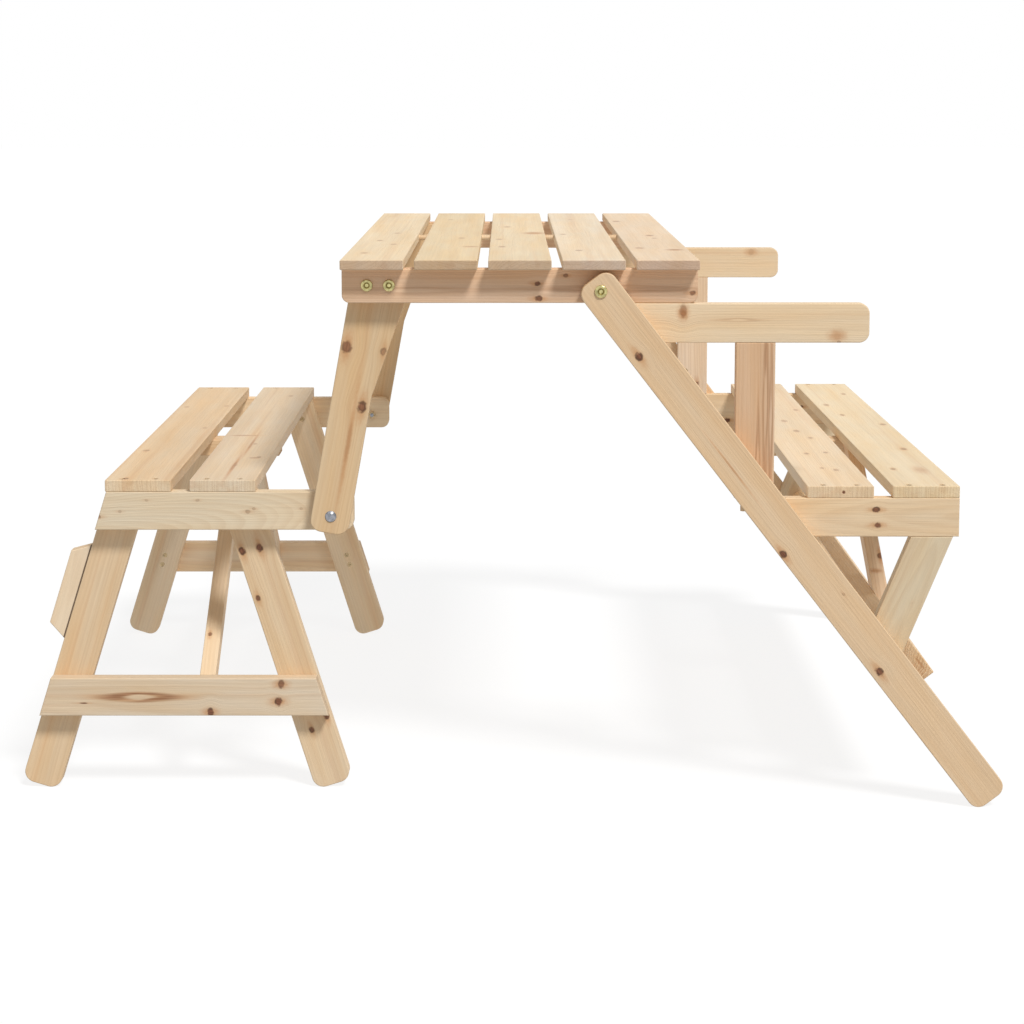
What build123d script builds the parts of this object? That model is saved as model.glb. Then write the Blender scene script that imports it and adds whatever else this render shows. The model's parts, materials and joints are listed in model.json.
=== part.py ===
from build123d import *
import os
from math import asin, atan2, cos, degrees, hypot, radians, sin, tan

# Convertible picnic table of fir boards: a fixed bench frame that carries the pivots of the
# table top, the top itself with two link arms, and a second bench that hangs on the arms.
# The origin is on the floor in the middle of the footprint. X runs from the moving bench to
# the fixed bench, Y from the front side to the rear side, and Z is up. Sizes are millimetres.
# Every side piece is made for the front (-Y) side and mirrored for the rear.

# Overall
span_over_feet = 1274.6
table_height = 705.0
width_over_legs = 1060.0
seat_height = 415.0
side_y = width_over_legs / 2

# Boards
leg_w = 50.0
board_t = 21.0
end_round = 15.0
edge_round = 1.5
hidden_inset = 4.0

# Clearances
fit_gap = 0.1
run_gap = 0.3
leg_to_top_gap = 2.0
arm_to_bench_gap = 1.5
arm_under_slat_gap = 1.4
head_to_frame_gap = 1.4
cut_over = 1.0

# Long legs of the fixed frame
long_leg_over_pivot = 18.0
pivot_over_rail_edge = 16.6

# Table top
slat_count = 5
table_slat_w = 79.5
table_slat_gap = 13.5
table_slat_t = 12.4
table_rail_h = 43.5
table_rail_inset = 0.8
table_rail_round = 10.0
table_reach = 327.4
spine_d = 8.0
spine_end_inset = 22.0

# Link arms and the pivot of the moving bench
bench_pivot_in = 344.6
bench_pivot_over_rail_edge = 21.7
bench_pivot_past_seat = 98.8
arm_head_in = 312.5
arm_under_pivot = 22.0
arm_taper_l = 164.1
arm_head_w = 78.7
arm_bolt_pitch = 28.1
arm_bolt_in = 294.9
arm_bolt_rise = 5.7

# Seats
seat_slat_w = 85.5
seat_slat_gap = 24.0
seat_slat_t = 15.5
seat_rail_h = 50.0
seat_rail_past_pivot = 28.2
seat_rail_round = 12.0
benches_gap = 19.0
seats_off_middle = 28.5
batten_h = 24.0
batten_w = 45.0
batten_inset = 12.0

# Legs of the moving bench
bench_legs_at_rail = 140.0
crossbar_middle = 127.3

# Stop blocks on the outer legs of the moving bench
block_long = 130.0
block_bevel = 15.0
block_out = 24.0
block_under_rail = 24.5

# Armrests and posts
armrest_past_pivot = 33.2
armrest_round = 13.0
post_before_leg = 7.9
post_to_armrest_end = 143.4

# Lower braces, stretcher and struts of the fixed frame and the moving bench
brace_lean = 22.1
brace_end_inset = 7.4
stretcher_w = 85.0
stretcher_past_brace = 65.7
stretcher_proud = 15.8
strut_w = 21.0
strut_inset = 6.9
strut_past_edge = 8.5
frame_strut_foot_y = 344.0
frame_strut_top_y = 50.0
bench_strut_foot_z = 152.0
bench_strut_top_y = 90.0

# Bolts, nuts, washers
top_bolt_d = 8.0
top_bolt_head_d = 16.0
arm_bolt_d = 6.0
arm_bolt_head_d = 15.0
bolt_head_h = 2.5
bolt_head_round = 0.8
socket_flats = 5.0
socket_deep = 1.7
dome_d = 15.0
dome_h = 3.6
top_nut_flats = 13.0
top_nut_h = 6.5
bench_nut_flats = 10.0
bench_nut_h = 5.0
insert_d = 10.0
insert_l = 13.0
thread_past_nut = 1.5
top_washer_d = 24.0
bench_washer_d = 18.0

# Wood screws and dowels
screw_d = 4.0
screw_head_d = 8.0
screw_head_h = 2.4
screw_bite = 14.0
screw_sink = 0.6
slat_screw_bite = 12.0
slat_screw_side = 21.5
screw_slot_l = 4.4
screw_slot_w = 1.0
screw_slot_deep = 1.2
screw_pitch = 16.0
slat_dowel_d = 6.0
slat_dowel_in_slat = 8.0
slat_dowel_in_rail = 14.0
frame_dowel_d = 8.0
frame_dowel_half = 18.0
brace_dowel_in_brace = 10.0
dowel_pitch = 25.0

# Heights that follow
table_slat_z = table_height - table_slat_t
table_rail_z = table_slat_z - table_rail_h
armrest_top = table_rail_z - run_gap
armrest_z = armrest_top - leg_w
seat_rail_top = seat_height - seat_slat_t
seat_rail_z = seat_rail_top - seat_rail_h
pivot_height = table_rail_z + pivot_over_rail_edge
bench_pivot_height = seat_rail_z + bench_pivot_over_rail_edge
bench_pivot_down = pivot_height - bench_pivot_height
block_top = seat_rail_z - block_under_rail

# Depths of the front side, from the outer face inwards. The boards of the fixed frame are thin
# enough to let the domed heads of the bench pivot pass behind them.
frame_board_t = board_t + leg_to_top_gap - dome_h - head_to_frame_gap
leg_y = -side_y
frame_board_y = leg_y + board_t
table_rail_y = leg_y + board_t + leg_to_top_gap
arm_y = table_rail_y + board_t
bench_rail_y = arm_y + board_t + arm_to_bench_gap
bench_leg_y = bench_rail_y + board_t
frame_inner_y = frame_board_y + frame_board_t
bench_inner_y = bench_leg_y + board_t


def ray(start, lean, run, side=0.0):
    """Point at run up a line that leans towards +X, and at side to its right."""
    angle = radians(lean)
    x = start[0] + run * sin(angle) + side * cos(angle)
    z = start[1] + run * cos(angle) - side * sin(angle)
    return (x, z)


def foot_end(lean):
    """Run from the floor up the centre line at which a board with a rounded foot ends."""
    angle = radians(abs(lean))
    return (end_round + (leg_w / 2 - end_round) * sin(angle)) / cos(angle) - end_round


def foot_reach(lean):
    """Distance in X from the floor point of the centre line to the foot's outermost point."""
    angle = radians(abs(lean))
    run = foot_end(lean) + end_round
    return end_round + (leg_w / 2 - end_round) * cos(angle) - run * sin(angle)


def at_height(start, lean, z):
    """X of a leaning line at a height."""
    return start[0] + (z - start[1]) * tan(radians(lean))


def lean_from(x, z):
    """Lean of a leg through a point x inside the outermost point of its foot, at height z."""
    lean = 0
    for step in range(40):
        lean = degrees(atan2(x - foot_reach(lean), z))
    return lean


# Places in X that follow. The fold carries the moving bench by twice its pivot's reach.
seat_w = 2 * seat_slat_w + seat_slat_gap
seats_apart = 2 * bench_pivot_in + seat_w + benches_gap
bench_x = seats_off_middle - seats_apart / 2
frame_seat_x = seats_off_middle + seats_apart / 2
bench_pivot = (bench_x + seat_w / 2 + bench_pivot_past_seat, bench_pivot_height)
top_pivot = (bench_pivot[0] + bench_pivot_in, pivot_height)
long_leg_lean = lean_from(span_over_feet / 2 - top_pivot[0], pivot_height)
long_foot = (span_over_feet / 2 - foot_reach(long_leg_lean), 0)
bench_leg_reach = span_over_feet / 2 + bench_x
bench_leg_lean = lean_from(bench_leg_reach - bench_legs_at_rail / 2, seat_rail_top)
outer_foot = (foot_reach(bench_leg_lean) - span_over_feet / 2, 0)
inner_foot = (2 * bench_x - outer_foot[0], 0)
armrest_x = top_pivot[0] + armrest_past_pivot
post_x = at_height(top_pivot, -long_leg_lean, seat_rail_top) - post_before_leg
armrest_end = post_x + post_to_armrest_end
top_x = top_pivot[0] - table_reach
top_w = slat_count * table_slat_w + (slat_count - 1) * table_slat_gap
frame_seat_end = frame_seat_x + seat_w / 2
brace_top = (frame_seat_end - brace_end_inset - leg_w / 2 / cos(radians(brace_lean)), seat_rail_z)

# Full fold of the top, which brings the moving bench back to its own height
full_fold = 2 * degrees(atan2(bench_pivot_in, bench_pivot_down))


def board(outline, rounds, y, thickness):
    """Board standing in X-Z, from its outer face at y towards the middle, with eased edges."""
    sheet = make_face(Polyline(*outline, close=True))
    for corner, radius in rounds:
        sheet = fillet(sheet.vertices().sort_by_distance(corner)[0], radius)
    lay = Plane(origin=(0, y, 0), x_dir=(1, 0, 0), z_dir=(0, -1, 0))
    solid = extrude(lay * sheet, amount=thickness, dir=(0, 1, 0))
    return fillet(solid.faces().filter_by(Axis.Y).edges(), edge_round)


def slat(x, y_half, z, width, thickness):
    """Slat lying along Y, from x in +X, its lower face at z, with eased edges."""
    middle = Pos(x + width / 2, 0, z + thickness / 2)
    solid = middle * Box(width, 2 * y_half, thickness)
    return fillet(solid.edges(), edge_round)


def beam(x0, x1, y0, y1, z0, z1):
    """Straight bar between two corners, with eased edges."""
    middle = Pos((x0 + x1) / 2, (y0 + y1) / 2, (z0 + z1) / 2)
    solid = middle * Box(x1 - x0, y1 - y0, z1 - z0)
    return fillet(solid.edges(), edge_round)


def pin(start, direction, radius, length):
    """Cylinder from a point along a direction."""
    lay = Plane(origin=start, z_dir=direction)
    return lay * Pos(0, 0, length / 2) * Cylinder(radius, length)


def rear(solid):
    """The same piece on the rear side."""
    return mirror(solid, about=Plane.XZ)


def screw(head, inward, length):
    """Countersunk wood screw with a cross recess: its head is flush at the point head."""
    lay = Plane(origin=head, z_dir=inward)
    cone = Pos(0, 0, screw_head_h / 2) * Cone(screw_head_d / 2, screw_d / 2, screw_head_h)
    shank = Pos(0, 0, length / 2) * Cylinder(screw_d / 2, length)
    slot = Pos(0, 0, screw_slot_deep / 2) * Box(screw_slot_l, screw_slot_w, screw_slot_deep)
    cross = slot + Rot(0, 0, 90) * slot
    return lay * (cone + shank - cross)


def screw_hole(head, inward, length):
    """Space that a screw takes, with its fit all round."""
    lay = Plane(origin=head, z_dir=inward)
    wide = screw_head_d / 2 + fit_gap
    narrow = screw_d / 2 + fit_gap
    cone = Pos(0, 0, screw_head_h / 2) * Cone(wide, narrow, screw_head_h)
    shank = Pos(0, 0, (length + fit_gap) / 2) * Cylinder(narrow, length + fit_gap)
    return lay * (cone + shank)


def flanged_bolt(place, y, length, shank_d, head_d):
    """Bolt along Y: flat round head with a hex socket on the outer face at y."""
    lay = Plane(origin=(place[0], y, place[1]), x_dir=(1, 0, 0), z_dir=(0, -1, 0))
    head = Pos(0, 0, bolt_head_h / 2) * Cylinder(head_d / 2, bolt_head_h)
    head = fillet(head.edges().group_by(Axis.Z)[-1], bolt_head_round)
    socket = Pos(0, 0, bolt_head_h - socket_deep) * extrude(
        RegularPolygon(socket_flats / 2, 6, major_radius=False), amount=socket_deep
    )
    shank = Pos(0, 0, -length / 2) * Cylinder(shank_d / 2, length)
    return lay * (head - socket + shank)


def dome_bolt(place, y, length, shank_d):
    """Bolt along Y with a plain domed head on the outer face at y."""
    lay = Plane(origin=(place[0], y, place[1]), x_dir=(1, 0, 0), z_dir=(0, -1, 0))
    ball_r = (dome_d * dome_d / 4 + dome_h * dome_h) / (2 * dome_h)
    ball = Pos(0, 0, dome_h - ball_r) * Sphere(ball_r)
    keep = Pos(0, 0, dome_h / 2) * Box(dome_d, dome_d, dome_h)
    shank = Pos(0, 0, -length / 2) * Cylinder(shank_d / 2, length)
    return lay * ((ball & keep) + shank)


def hex_nut(place, y, flats, height, bolt_d):
    """Nut round a bolt along Y, from y towards the middle."""
    lay = Plane(origin=(place[0], y, place[1]), x_dir=(1, 0, 0), z_dir=(0, 1, 0))
    body = extrude(RegularPolygon(flats / 2, 6, major_radius=False), amount=height)
    bore = Pos(0, 0, height / 2) * Cylinder(bolt_d / 2 + fit_gap, height + cut_over)
    return lay * (body - bore)


def bolt_hole(place, y, depth, bolt_d, gap):
    """Hole along Y through a board that starts at y."""
    start = (place[0], y - cut_over, place[1])
    return pin(start, (0, 1, 0), bolt_d / 2 + gap, depth + 2 * cut_over)


def washer(place, y, thickness, outer_d, bolt_d):
    """Ring round a bolt along Y, from y towards the middle."""
    ring = pin((place[0], y, place[1]), (0, 1, 0), outer_d / 2, thickness)
    return ring - bolt_hole(place, y, thickness, bolt_d, fit_gap)


def across_screws(places, y, through, bite):
    """Screws along Y from an inner face at y outwards, and the holes they need."""
    length = through + bite
    made = [screw((x, y, z), (0, -1, 0), length) for x, z in places]
    holes = [screw_hole((x, y, z), (0, -1, 0), length) for x, z in places]
    return made, holes


def slat_screws(middles, y, slat_t):
    """Two sunk screws from above through each slat end of a seat, and the holes they need."""
    down = (0, 0, -1)
    length = slat_t - screw_sink + slat_screw_bite
    made = []
    holes = []
    for x in middles:
        for side in (-1, 1):
            spot = (x + side * slat_screw_side, y)
            head = (*spot, seat_height - screw_sink)
            made.append(screw(head, down, length))
            sink_top = (*spot, seat_height + cut_over)
            sink = pin(sink_top, down, screw_head_d / 2 + fit_gap, screw_sink + cut_over)
            holes.append(screw_hole(head, down, length) + sink)
    return made, holes


def dowels(starts, direction, diameter, length):
    """Round pins from each start, and the holes they need."""
    made = [pin(start, direction, diameter / 2, length) for start in starts]
    step = Vector(*direction) * fit_gap
    holes = [
        pin(tuple(Vector(*start) - step), direction, diameter / 2 + fit_gap, length + 2 * fit_gap)
        for start in starts
    ]
    return made, holes


def slat_dowel_starts(slat_middles, y, slat_z):
    """Lower ends of the two dowels that hold each slat end of the top on its rail."""
    starts = []
    for x in slat_middles:
        for side in (-1, 1):
            starts.append((x + side * dowel_pitch, y, slat_z - slat_dowel_in_rail))
    return starts


def both(solids):
    """A front list with its rear copies."""
    return solids + [rear(s) for s in solids]


nodes = {}


def place_pair(name, solid):
    """Keep a side piece as a front and a rear node."""
    nodes[name + "_front"] = solid
    nodes[name + "_rear"] = rear(solid)


# Fixed frame, front side
leg_top_corners = [ray(top_pivot, -long_leg_lean, long_leg_over_pivot, s * leg_w / 2) for s in (-1, 1)]
leg_foot_run = foot_end(long_leg_lean)
leg_foot_corners = [ray(long_foot, -long_leg_lean, leg_foot_run, s * leg_w / 2) for s in (1, -1)]
leg_outline = leg_top_corners + leg_foot_corners
long_leg = board(leg_outline, [(c, end_round) for c in leg_outline], leg_y, board_t)

armrest_outline = [
    (armrest_x, armrest_z),
    (armrest_end, armrest_z),
    (armrest_end, armrest_top),
    (armrest_x, armrest_top),
]
armrest = board(
    armrest_outline,
    [(armrest_outline[1], armrest_round), (armrest_outline[2], armrest_round)],
    frame_board_y,
    frame_board_t,
)

post_outline = [
    (post_x - leg_w / 2, seat_rail_top),
    (post_x + leg_w / 2, seat_rail_top),
    (post_x + leg_w / 2, armrest_z),
    (post_x - leg_w / 2, armrest_z),
]
post = board(post_outline, [], frame_board_y, frame_board_t)


def leg_back_x(z):
    """X just inside the lower edge of the long leg, where the boards behind it stop."""
    edge = ray(top_pivot, -long_leg_lean, 0, hidden_inset - leg_w / 2)
    return at_height(edge, -long_leg_lean, z)


frame_rail_outline = [
    (leg_back_x(seat_rail_z), seat_rail_z),
    (frame_seat_end, seat_rail_z),
    (frame_seat_end, seat_rail_top),
    (leg_back_x(seat_rail_top), seat_rail_top),
]
frame_rail = board(frame_rail_outline, [], frame_board_y, frame_board_t)


def brace_end(side):
    """Point where an edge of the brace meets the line just inside the leg's lower edge."""
    start = ray(brace_top, brace_lean, 0, side * leg_w / 2)
    rise = tan(radians(brace_lean)) + tan(radians(long_leg_lean))
    drop = (start[0] - leg_back_x(start[1])) / rise
    return (start[0] - drop * tan(radians(brace_lean)), start[1] - drop)


brace_half = leg_w / 2 / cos(radians(brace_lean))
brace_cross_drop = (brace_top[0] - at_height(top_pivot, -long_leg_lean, seat_rail_z)) / (
    tan(radians(brace_lean)) + tan(radians(long_leg_lean))
)
brace_cross = (
    brace_top[0] - brace_cross_drop * tan(radians(brace_lean)),
    seat_rail_z - brace_cross_drop,
)
brace_outline = [
    (brace_top[0] - brace_half, seat_rail_z),
    brace_end(-1),
    brace_end(1),
    (brace_top[0] + brace_half, seat_rail_z),
]
brace = board(brace_outline, [], frame_board_y, frame_board_t)

# Stretcher between the two braces, its face along the legs
stretcher_side = leg_w / 2 + stretcher_proud
brace_cross_down = (pivot_height - brace_cross[1]) / cos(radians(long_leg_lean))
stretcher_down = brace_cross_down + stretcher_past_brace
stretcher_middle = ray(
    top_pivot,
    -long_leg_lean,
    stretcher_w / 2 - stretcher_down,
    stretcher_side - board_t / 2,
)
stretcher_lay = Pos(stretcher_middle[0], 0, stretcher_middle[1]) * Rot(0, -long_leg_lean, 0)
stretcher = stretcher_lay * Box(board_t, -2 * frame_inner_y, stretcher_w)
stretcher = fillet(stretcher.edges(), edge_round)

# Seats: two slats, a batten under their middle
frame_seat_x0 = frame_seat_x - seat_w / 2
bench_x0 = bench_x - seat_w / 2
second_slat = seat_slat_w + seat_slat_gap
frame_slat_xs = [frame_seat_x0, frame_seat_x0 + second_slat]
bench_slat_xs = [bench_x0, bench_x0 + second_slat]
frame_slats = [
    slat(x, -frame_board_y, seat_rail_top, seat_slat_w, seat_slat_t) for x in frame_slat_xs
]
bench_slats = [slat(x, -bench_rail_y, seat_rail_top, seat_slat_w, seat_slat_t) for x in bench_slat_xs]


def seat_batten(x0):
    """Batten under the middle of a seat that starts at x0."""
    ends = (x0 + batten_inset, x0 + seat_w - batten_inset)
    return beam(*ends, -batten_w / 2, batten_w / 2, seat_rail_top - batten_h, seat_rail_top)


frame_batten = seat_batten(frame_seat_x0)
bench_batten = seat_batten(bench_x0)


def strut(x0, foot, top_y):
    """Square strut in Y-Z: its upper face runs from foot to the slats at -top_y."""
    rise = atan2(seat_rail_top - foot[1], -top_y - foot[0])
    lay = Plane(
        origin=(x0 + strut_w / 2, foot[0], foot[1]),
        x_dir=(0, cos(rise), sin(rise)),
        z_dir=(1, 0, 0),
    )
    run = (seat_rail_top - foot[1]) / sin(rise)
    over = 2 * strut_w
    bar = lay * Pos(run / 2, -strut_w / 2, 0) * Box(run + 2 * over, strut_w, strut_w)
    long_edges = bar.edges().filter_by(lambda e: e.length > run)
    bar = fillet(long_edges, edge_round)
    under_slats = Box(
        table_height, width_over_legs, seat_rail_top, align=(Align.CENTER, Align.CENTER, Align.MIN)
    )
    beside_batten = Box(
        table_height, side_y, table_height, align=(Align.CENTER, Align.MAX, Align.MIN)
    )
    bar = bar & (Pos(x0, 0, 0) * under_slats)
    return bar & (Pos(x0, -batten_w / 2, 0) * beside_batten)


bench_strut_x = bench_x0 + second_slat + strut_inset
stretcher_edge = ray(top_pivot, -long_leg_lean, stretcher_w - stretcher_down, stretcher_side)
stretcher_face = ray(top_pivot, -long_leg_lean, -stretcher_down, stretcher_side)
frame_strut_mid = stretcher_edge[0] + strut_past_edge
frame_strut_foot_z = stretcher_edge[1] - strut_past_edge / tan(radians(long_leg_lean))
frame_strut_foot = (-frame_strut_foot_y, frame_strut_foot_z)
frame_strut = strut(frame_strut_mid - strut_w / 2, frame_strut_foot, frame_strut_top_y)
over_stretcher = Plane(
    origin=(stretcher_face[0], 0, stretcher_face[1]),
    x_dir=(0, 1, 0),
    z_dir=(cos(radians(long_leg_lean)), 0, sin(radians(long_leg_lean))),
)
above_stretcher = over_stretcher * Box(
    width_over_legs, table_height, table_height, align=(Align.CENTER, Align.CENTER, Align.MIN)
)
frame_strut = frame_strut & above_stretcher
bench_strut = strut(bench_strut_x, (bench_leg_y, bench_strut_foot_z), bench_strut_top_y)
inside_crossbar = Pos(bench_strut_x, bench_leg_y, 0) * Box(
    table_height, side_y, table_height, align=(Align.CENTER, Align.MIN, Align.MIN)
)
bench_strut = bench_strut & inside_crossbar

# Table top
table_slat_xs = [top_x + i * (table_slat_w + table_slat_gap) for i in range(slat_count)]
table_slats = [slat(x, side_y, table_slat_z, table_slat_w, table_slat_t) for x in table_slat_xs]
spine_start = (top_x + spine_end_inset, 0, table_slat_z + table_slat_t / 2)
spine, spine_holes = dowels([spine_start], (1, 0, 0), spine_d, top_w - 2 * spine_end_inset)

rail_x0 = top_x + table_rail_inset
rail_x1 = top_x + top_w - table_rail_inset
table_rail_outline = [
    (rail_x0, table_rail_z),
    (rail_x1, table_rail_z),
    (rail_x1, table_slat_z),
    (rail_x0, table_slat_z),
]
table_rail = board(
    table_rail_outline,
    [(table_rail_outline[0], table_rail_round), (table_rail_outline[1], table_rail_round)],
    table_rail_y,
    board_t,
)

# Link arm: straight on its outer edge, wider towards the top on its inner edge
arm_top_z = table_slat_z - arm_under_slat_gap
arm_head_x = top_pivot[0] - arm_head_in - bench_pivot[0]
arm_head_z = arm_top_z - bench_pivot[1]
arm_lean = degrees(atan2(arm_head_x, arm_head_z) + asin(leg_w / 2 / hypot(arm_head_x, arm_head_z)))
arm_taper_start = arm_head_z / cos(radians(arm_lean)) - arm_taper_l
arm_left_low = ray(bench_pivot, arm_lean, -arm_under_pivot, -leg_w / 2)
arm_right_low = ray(bench_pivot, arm_lean, -arm_under_pivot, leg_w / 2)
arm_taper = ray(bench_pivot, arm_lean, arm_taper_start, leg_w / 2)
arm_left_top = (at_height(arm_left_low, arm_lean, arm_top_z), arm_top_z)
arm_right_top = (arm_left_top[0] + arm_head_w / cos(radians(arm_lean)), arm_top_z)
arm_outline = [arm_left_low, arm_right_low, arm_taper, arm_right_top, arm_left_top]
arm_rounds = [(arm_left_low, end_round), (arm_right_low, end_round)]
link_arm = board(arm_outline, arm_rounds, arm_y, board_t)

# Moving bench, front side
bench_rail_end = bench_pivot[0] + seat_rail_past_pivot


def outer_edge_x(z):
    """X of the outer edge of the outer leg."""
    return at_height(ray(outer_foot, bench_leg_lean, 0, -leg_w / 2), bench_leg_lean, z)


def inner_edge_x(z):
    """X of the outward edge of the inner leg."""
    return at_height(ray(inner_foot, -bench_leg_lean, 0, leg_w / 2), -bench_leg_lean, z)


bench_rail_outline = [
    (outer_edge_x(seat_rail_z), seat_rail_z),
    (bench_rail_end, seat_rail_z),
    (bench_rail_end, seat_rail_top),
    (outer_edge_x(seat_rail_top), seat_rail_top),
]
bench_rail = board(
    bench_rail_outline,
    [(bench_rail_outline[1], seat_rail_round), (bench_rail_outline[2], seat_rail_round)],
    bench_rail_y,
    board_t,
)

crossbar_z0 = crossbar_middle - leg_w / 2
crossbar_z1 = crossbar_middle + leg_w / 2
crossbar_outline = [
    (outer_edge_x(crossbar_z0), crossbar_z0),
    (inner_edge_x(crossbar_z0), crossbar_z0),
    (inner_edge_x(crossbar_z1), crossbar_z1),
    (outer_edge_x(crossbar_z1), crossbar_z1),
]
crossbar = board(crossbar_outline, [], bench_rail_y, board_t)


def bench_leg(foot, lean):
    """Leg of the moving bench: a rounded foot and a top cut level with the rail."""
    run = foot_end(lean)
    left = ray(foot, lean, run, -leg_w / 2)
    right = ray(foot, lean, run, leg_w / 2)
    top_left = (at_height(left, lean, seat_rail_top), seat_rail_top)
    top_right = (at_height(right, lean, seat_rail_top), seat_rail_top)
    outline = [left, right, top_right, top_left]
    return board(outline, [(left, end_round), (right, end_round)], bench_leg_y, board_t)


outer_leg = bench_leg(outer_foot, bench_leg_lean)
inner_leg = bench_leg(inner_foot, -bench_leg_lean)

# Stop block, a trapezoid on the outer edge of the outer leg
block_start = (outer_edge_x(block_top), block_top)
block_outline = [
    block_start,
    ray(block_start, bench_leg_lean, -block_bevel, -block_out),
    ray(block_start, bench_leg_lean, block_bevel - block_long, -block_out),
    ray(block_start, bench_leg_lean, -block_long),
]
block = board(block_outline, [], bench_leg_y, board_t)

# Screws that hold the frame boards to the long leg
leg_screw_side = leg_w / 4
armrest_screws = [
    ray(top_pivot, -long_leg_lean, -armrest_past_pivot - leg_w * 2 / 3, leg_screw_side / 2),
    ray(top_pivot, -long_leg_lean, -armrest_past_pivot - leg_w, leg_screw_side * 3 / 2),
]
post_screws = []
for rise in (screw_pitch, screw_pitch * 5 / 2):
    z = seat_rail_top + rise
    post_screws.append(((post_x + at_height(top_pivot, -long_leg_lean, z)) / 2, z))
rail_middle_z = seat_rail_z + seat_rail_h / 2
rail_middle = (at_height(top_pivot, -long_leg_lean, rail_middle_z), rail_middle_z)
rail_screws = [ray(rail_middle, -long_leg_lean, s * screw_pitch / 2) for s in (-1, 1)]
brace_screws = [ray(brace_cross, -long_leg_lean, s * screw_pitch / 2) for s in (-1, 1)]
frame_screw_places = armrest_screws + post_screws + rail_screws + brace_screws
frame_screws, frame_screw_holes = across_screws(
    frame_screw_places, frame_inner_y, frame_board_t, screw_bite
)

# Screws that hold the legs of the moving bench to its rail and crossbar
bench_screw_places = []
for foot, lean in ((outer_foot, bench_leg_lean), (inner_foot, -bench_leg_lean)):
    for middle in (rail_middle_z, crossbar_middle):
        for s in (-1, 1):
            z = middle + s * screw_pitch / 2
            bench_screw_places.append((at_height(foot, lean, z), z))
bench_screws, bench_screw_holes = across_screws(
    bench_screw_places, bench_inner_y, board_t, screw_bite
)

# Screws of the stop block, square to the edge of the leg
block_face = ray(block_start, bench_leg_lean, -block_long / 2, -block_out)
block_inward = (cos(radians(bench_leg_lean)), 0, -sin(radians(bench_leg_lean)))
block_length = block_out + screw_bite
block_heads = []
for s in (-1, 1):
    x, z = ray(block_face, bench_leg_lean, s * screw_pitch * 3 / 2)
    block_heads.append((x, bench_leg_y + board_t / 2, z))
block_screws = [screw(head, block_inward, block_length) for head in block_heads]
block_holes = [screw_hole(head, block_inward, block_length) for head in block_heads]


def batten_screws(x0):
    """Screws from below through a seat batten, two into each slat."""
    length = batten_h + seat_slat_t * 2 / 3
    heads = []
    for i in (0, 1):
        middle = x0 + i * second_slat + seat_slat_w / 2
        for s in (-1, 1):
            heads.append((middle + s * screw_pitch, 0, seat_rail_top - batten_h))
    made = [screw(head, (0, 0, 1), length) for head in heads]
    return made, [screw_hole(head, (0, 0, 1), length) for head in heads]


frame_batten_screws, frame_batten_holes = batten_screws(frame_seat_x0)
bench_batten_screws, bench_batten_holes = batten_screws(bench_x0)

# Dowels under the slats of the top, and screws in the slats of the seats
slat_dowel_l = slat_dowel_in_rail + slat_dowel_in_slat
frame_mid_y = frame_board_y + frame_board_t / 2
table_middles = [x + table_slat_w / 2 for x in table_slat_xs]
frame_middles = [x + seat_slat_w / 2 for x in frame_slat_xs]
bench_middles = [x + seat_slat_w / 2 for x in bench_slat_xs]
table_starts = slat_dowel_starts(table_middles, table_rail_y + board_t / 2, table_slat_z)
up = (0, 0, 1)
table_pins, table_pin_holes = dowels(table_starts, up, slat_dowel_d, slat_dowel_l)
frame_slat_screws, frame_slat_holes = slat_screws(frame_middles, frame_mid_y, seat_slat_t)
bench_mid_y = bench_rail_y + board_t / 2
bench_slat_screws, bench_slat_holes = slat_screws(bench_middles, bench_mid_y, seat_slat_t)

# Dowels in the butt joints of the fixed frame
butt_starts = []
for s in (-1, 1):
    butt_starts.append((post_x + s * dowel_pitch / 2, frame_mid_y, armrest_z - frame_dowel_half))
    butt_starts.append((post_x + s * dowel_pitch / 2, frame_mid_y, seat_rail_top - frame_dowel_half))
    butt_starts.append((brace_top[0] + s * dowel_pitch / 2, frame_mid_y, seat_rail_z - frame_dowel_half))
butt_dowels, butt_holes = dowels(butt_starts, up, frame_dowel_d, 2 * frame_dowel_half)
joint_spot = ray(
    top_pivot,
    -long_leg_lean,
    stretcher_w - stretcher_down - frame_dowel_half,
    stretcher_side - board_t / 2,
)
joint_start = (joint_spot[0], frame_inner_y - brace_dowel_in_brace, joint_spot[1])
end_dowels, end_holes = dowels([joint_start], (0, 1, 0), frame_dowel_d, 2 * frame_dowel_half)

# Bolts of the table pivot, the link arms and the bench pivot
top_stack = board_t + leg_to_top_gap + board_t + run_gap
top_bolt_l = top_stack + top_nut_h + thread_past_nut
top_bolt = flanged_bolt(top_pivot, leg_y, top_bolt_l, top_bolt_d, top_bolt_head_d)
top_nut = hex_nut(top_pivot, leg_y + top_stack, top_nut_flats, top_nut_h, top_bolt_d)
top_washer_t = leg_to_top_gap - run_gap
top_washer = washer(top_pivot, leg_y + board_t, top_washer_t, top_washer_d, top_bolt_d)
arm_bolt_places = []
for s in (-1, 1):
    first = top_pivot[0] - arm_bolt_in + arm_bolt_pitch / 2
    arm_bolt_places.append((first + s * arm_bolt_pitch / 2, pivot_height + arm_bolt_rise))
arm_stack = 2 * board_t
arm_bolts = [
    flanged_bolt(p, table_rail_y, arm_stack - run_gap, arm_bolt_d, arm_bolt_head_d)
    for p in arm_bolt_places
]
insert_y = table_rail_y + arm_stack - insert_l
arm_inserts = [washer(p, insert_y, insert_l, insert_d, arm_bolt_d) for p in arm_bolt_places]
bench_stack = board_t + arm_to_bench_gap + board_t + run_gap
bench_bolt = dome_bolt(bench_pivot, arm_y, bench_stack + bench_nut_h + thread_past_nut, arm_bolt_d)
bench_nut = hex_nut(bench_pivot, arm_y + bench_stack, bench_nut_flats, bench_nut_h, arm_bolt_d)
bench_washer_t = arm_to_bench_gap - run_gap
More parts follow.
